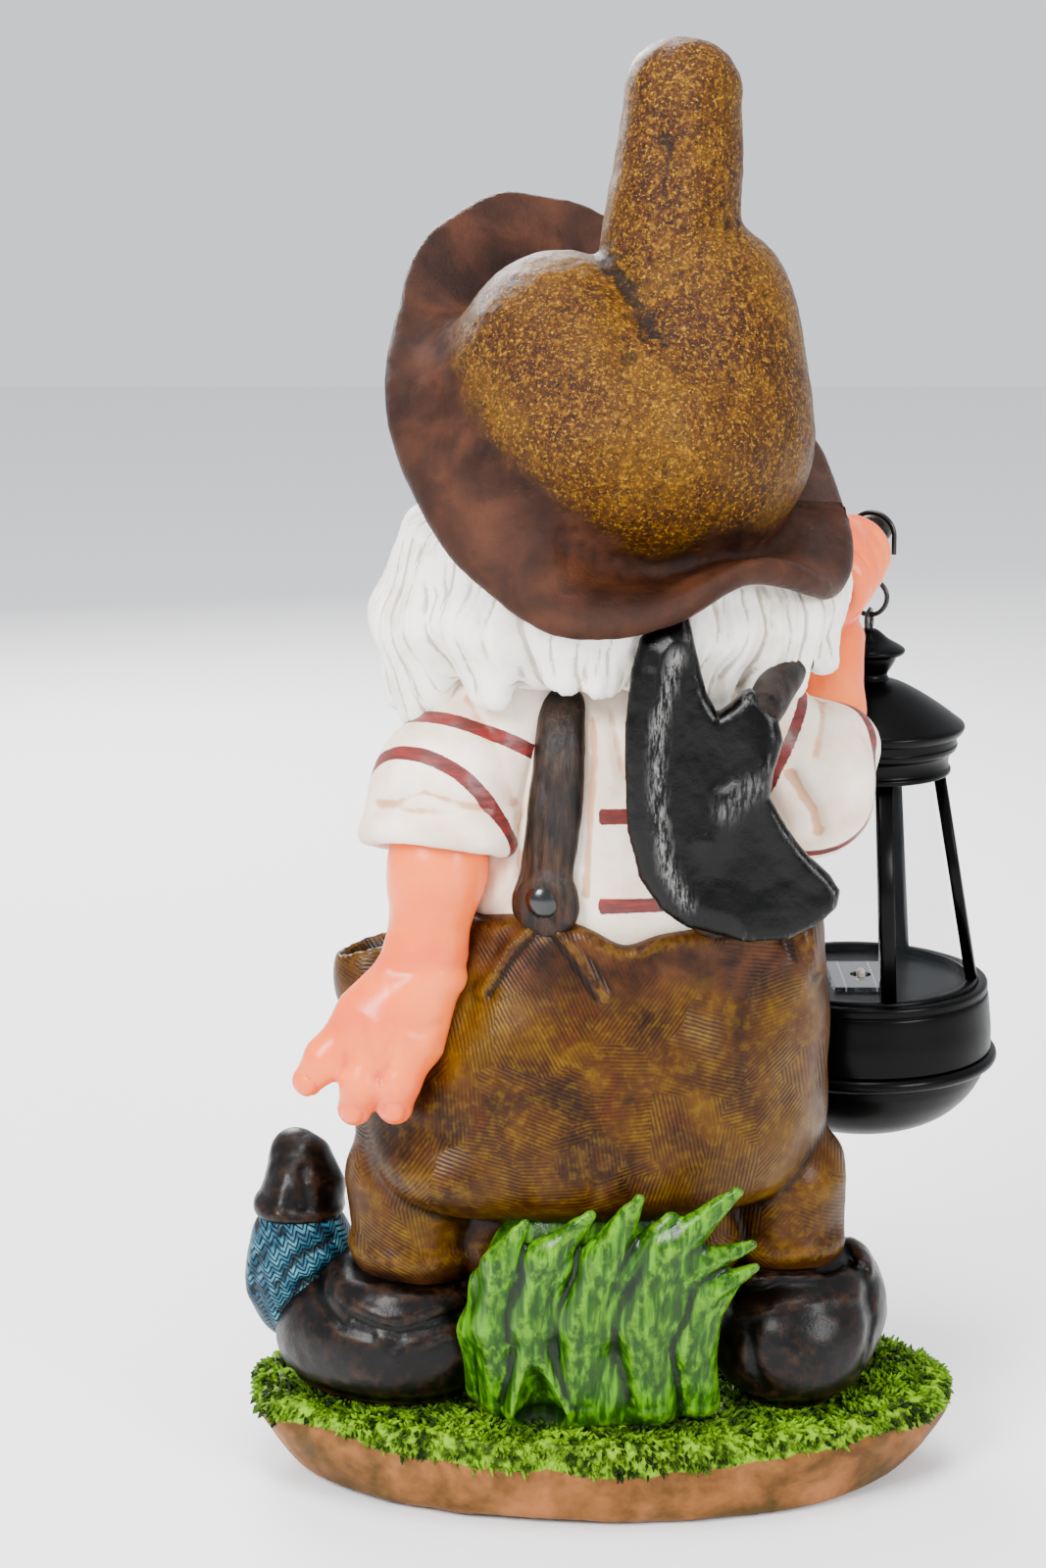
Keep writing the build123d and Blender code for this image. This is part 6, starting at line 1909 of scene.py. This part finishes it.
spun("turned_finial", [(0, APEX + 0.4), (4.5, APEX - 0.4), (10.5, APEX - 5.2), (15.5, APEX - 8.0),
                       (18.2, APEX - 9.8), (18.8, APEX - 11.2), (17.8, APEX - 12.8), (14.6, APEX - 14.2),
                       (14.6, APEX - 14.2), (13.8, APEX - 16.4), (12.2, APEX - 19.4), (10.4, APEX - 22.2),
                       (10.2, NECK + 1.0), (11.5, NECK - 1.2), (11.5, NECK - 1.2),
                       (0, NECK - 1.4)][::-1], "lantern", ["lantern_finial"], "lantern_black")
spun("domed_roof", [(41.0, THROAT + 0.6), (42.4, THROAT), (43.6, THROAT + 0.8), (43.6, THROAT + 2.6),
                    (42.6, THROAT + 3.8), (42.5, THROAT + 7.5), (43.6, THROAT + 10.5),
                    (46.2, THROAT + 13.0), (46.9, THROAT + 15.2), (46.9, THROAT + 15.2),
                    (46.4, THROAT + 16.2), (46.7, RIM - 5.0), (46.7, RIM - 5.0), (48.6, RIM - 4.2),
                    (50.2, RIM - 1.6), (49.8, RIM + 0.6), (46.5, RIM + 3.2), (38.0, RIM + 9.4),
                    (28.0, RIM + 15.8), (19.0, RIM + 20.6), (12.5, RIM + 22.8), (9.0, NECK - 1.0),
                    (9.0, NECK - 1.0), (8.0, NECK - 4.0), (26.0, RIM + 13.4), (40.5, RIM + 4.6),
                    (44.2, RIM - 3.0), (44.2, THROAT + 16.0), (40.2, THROAT + 9.0),
                    (40.2, THROAT + 1.6)], "lantern", ["lantern_roof"], "lantern_black")
spun("collar_wall", [(60.6, COLLAR + 0.6), (61.2, COLLAR + 2.2), (64.6, COLLAR + 2.2), (66.0, COLLAR + 0.9),
                     (66.2, COLLAR - 2.4), (66.2, COLLAR - 2.4), (65.6, COLLAR - 3.4), (66.6, COLLAR - 5.0),
                     (67.6, COLLAR - 14.0), (68.4, BEAD + 12.0), (68.6, BEAD + 4.0), (68.4, BEAD + 0.4),
                     (67.4, BEAD), (66.4, BEAD + 0.4), (66.2, BEAD + 8.0), (64.0, COLLAR - 4.0),
                     (63.8, COLLAR - 0.2),
                     (61.0, COLLAR - 0.2)], "lantern", ["lantern_collar"], "lantern_black")
spun("deep_bowl", [(0, BOWL + 0.2), (12.0, BOWL), (22.0, BOWL + 0.5), (36.0, BOWL + 3.4),
                   (49.0, BOWL + 10.2), (58.6, BOWL + 19.4), (64.0, BOWL + 28.0), (66.4, BEAD - 8.6),
                   (66.4, BEAD - 8.6), (68.4, BEAD - 7.6), (71.0, BEAD - 6.0), (71.9, BEAD - 3.8),
                   (71.2, BEAD - 1.6), (69.4, BEAD - 0.3), (67.6, BEAD - 0.2), (67.6, BEAD - 0.2),
                   (60.0, BEAD - 0.4), (60.0, BEAD - 0.4), (58.0, BEAD - 12.0), (42.0, BOWL + 12.0),
                   (20.0, BOWL + 3.4), (0, BOWL + 3.0)], "bowl", ["lantern_bowl"], "lantern_black")
spun("clear_chimney", [(53.4, COLLAR + 0.2), (54.4, COLLAR + 0.4), (54.6, COLLAR + 4.0), (34.6, THROAT),
                       (34.6, THROAT + 4.6), (33.2, THROAT + 4.8), (33.2, THROAT),
                       (53.2, COLLAR + 4.0)], "lantern",
     ["lantern_glass"], "clear")


# %% [markdown]
# The frame's bars are one shape repeated: a flat splayed bar with softened edges. The recipe
# below puts copies on a circle and turns each one to face outwards, then the two rings that
# hold them are spun as pieces of their own on the same lantern body.

# %% Bars and their rings
def bar_mesh():
    """One splayed bar at angle 0, as a closed prism with rounded edges."""
    section = []
    for k in range(24):
        a = 2 * math.pi * k / 24
        c, s = math.cos(a), math.sin(a)
        section.append((3.1 * math.copysign(abs(c) ** 0.4, c), 4.1 * math.copysign(abs(s) ** 0.4, s)))
    ends = ((57.5, COLLAR + 3.0), (37.5, THROAT + 1.6))
    points = [((r + dx) / 1000, dy / 1000, z / 1000) for r, z in ends for dx, dy in section]
    n = len(section)
    faces = ([(k, (k + 1) % n, n + (k + 1) % n, n + k) for k in range(n)]
             + [tuple(range(n))[::-1], tuple(range(n, 2 * n))])
    mesh = bpy.data.meshes.new("bar")
    mesh.from_pydata(points, [], faces)
    mesh.polygons.foreach_set("use_smooth", [True] * n + [False, False])
    bar = bpy.data.objects.new("bar", mesh)
    bpy.context.scene.collection.objects.link(bar)
    return bar


def ring_of_bars(count=5, first=26.0):
    source = bar_mesh()
    recipe = Recipe("ring of bars", Count=count, First=math.radians(first), Bar=source,
                    Finish=FINISHES["lantern_black"])
    spot = recipe.add("GeometryNodeMeshLine", {"mode": "OFFSET"}, Count=recipe.get("Count"),
                      Offset=(0.0, 0.0, 0.0))["Mesh"]
    points = recipe.add("GeometryNodeMeshToPoints", None, Mesh=spot)[0]
    number = recipe.add("GeometryNodeInputIndex")[0]
    step = recipe.add("ShaderNodeMath", {"operation": "DIVIDE"}, i0=2 * math.pi, i1=recipe.get("Count"))[0]
    turn = recipe.add("ShaderNodeMath", {"operation": "MULTIPLY_ADD"}, i0=number, i1=step,
                      i2=recipe.get("First"))[0]
    angle = recipe.add("FunctionNodeAxisAngleToRotation", None, Axis=(0.0, 0.0, 1.0), Angle=turn)["Rotation"]
    each = recipe.add("GeometryNodeObjectInfo", None, Object=recipe.get("Bar"))["Geometry"]
    copies = recipe.add("GeometryNodeInstanceOnPoints", None, Points=points, Instance=each,
                        Rotation=angle)["Instances"]
    moved = recipe.add("GeometryNodeTranslateInstances", None, Instances=copies,
                       Translation=(AXIS[0] / 1000, AXIS[1] / 1000, 0.0), Local_Space=False)["Instances"]
    solid = recipe.add("GeometryNodeRealizeInstances", None, Geometry=moved)["Geometry"]
    coated = recipe.add("GeometryNodeSetMaterial", None, Geometry=solid,
                        Material=recipe.get("Finish"))["Geometry"]
    piece = recipe.serve(coated, bpy.data.meshes.new("start"), "frame_bars")
    bpy.data.objects.remove(source)
    return piece


bars = ring_of_bars()
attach(bars, "lantern")
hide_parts("lantern_frame")
print("frame bars:", len(bars.data.polygons), "faces")
spun("top_ring", [(35.3, THROAT + 0.2), (39.9, THROAT + 0.2), (40.0, THROAT + 5.8), (35.3, THROAT + 5.8)],
     "lantern", [], "lantern_black")
spun("foot_ring", [(55.4, COLLAR + 0.2), (60.4, COLLAR + 0.2), (60.9, COLLAR + 2.6), (59.8, COLLAR + 4.0),
                   (56.0, COLLAR + 4.0), (55.4, COLLAR + 3.4)], "lantern", [], "lantern_black")


# %% [markdown]
# ## Small parts that keep their engineered shape
# The deck, the cell, the light, the screws, the wire hook and the inner parts are right as they
# are. Each gets its finish in its own material slot.

# %% Finishes for the small parts
slots = {part["node"]: part["material_slot"] for part in frame["record"]["subparts"]}
for node, piece in frame["nodes"].items():
    if slots.get(node) in FINISHES:
        piece.data.materials.clear()
        piece.data.materials.append(FINISHES[slots[node]])
print(len(frame["nodes"]), "nodes have a finish")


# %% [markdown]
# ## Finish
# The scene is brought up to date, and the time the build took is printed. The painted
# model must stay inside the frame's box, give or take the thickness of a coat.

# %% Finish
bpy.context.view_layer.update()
print(f"made in {time.time() - STARTED:.0f} s")
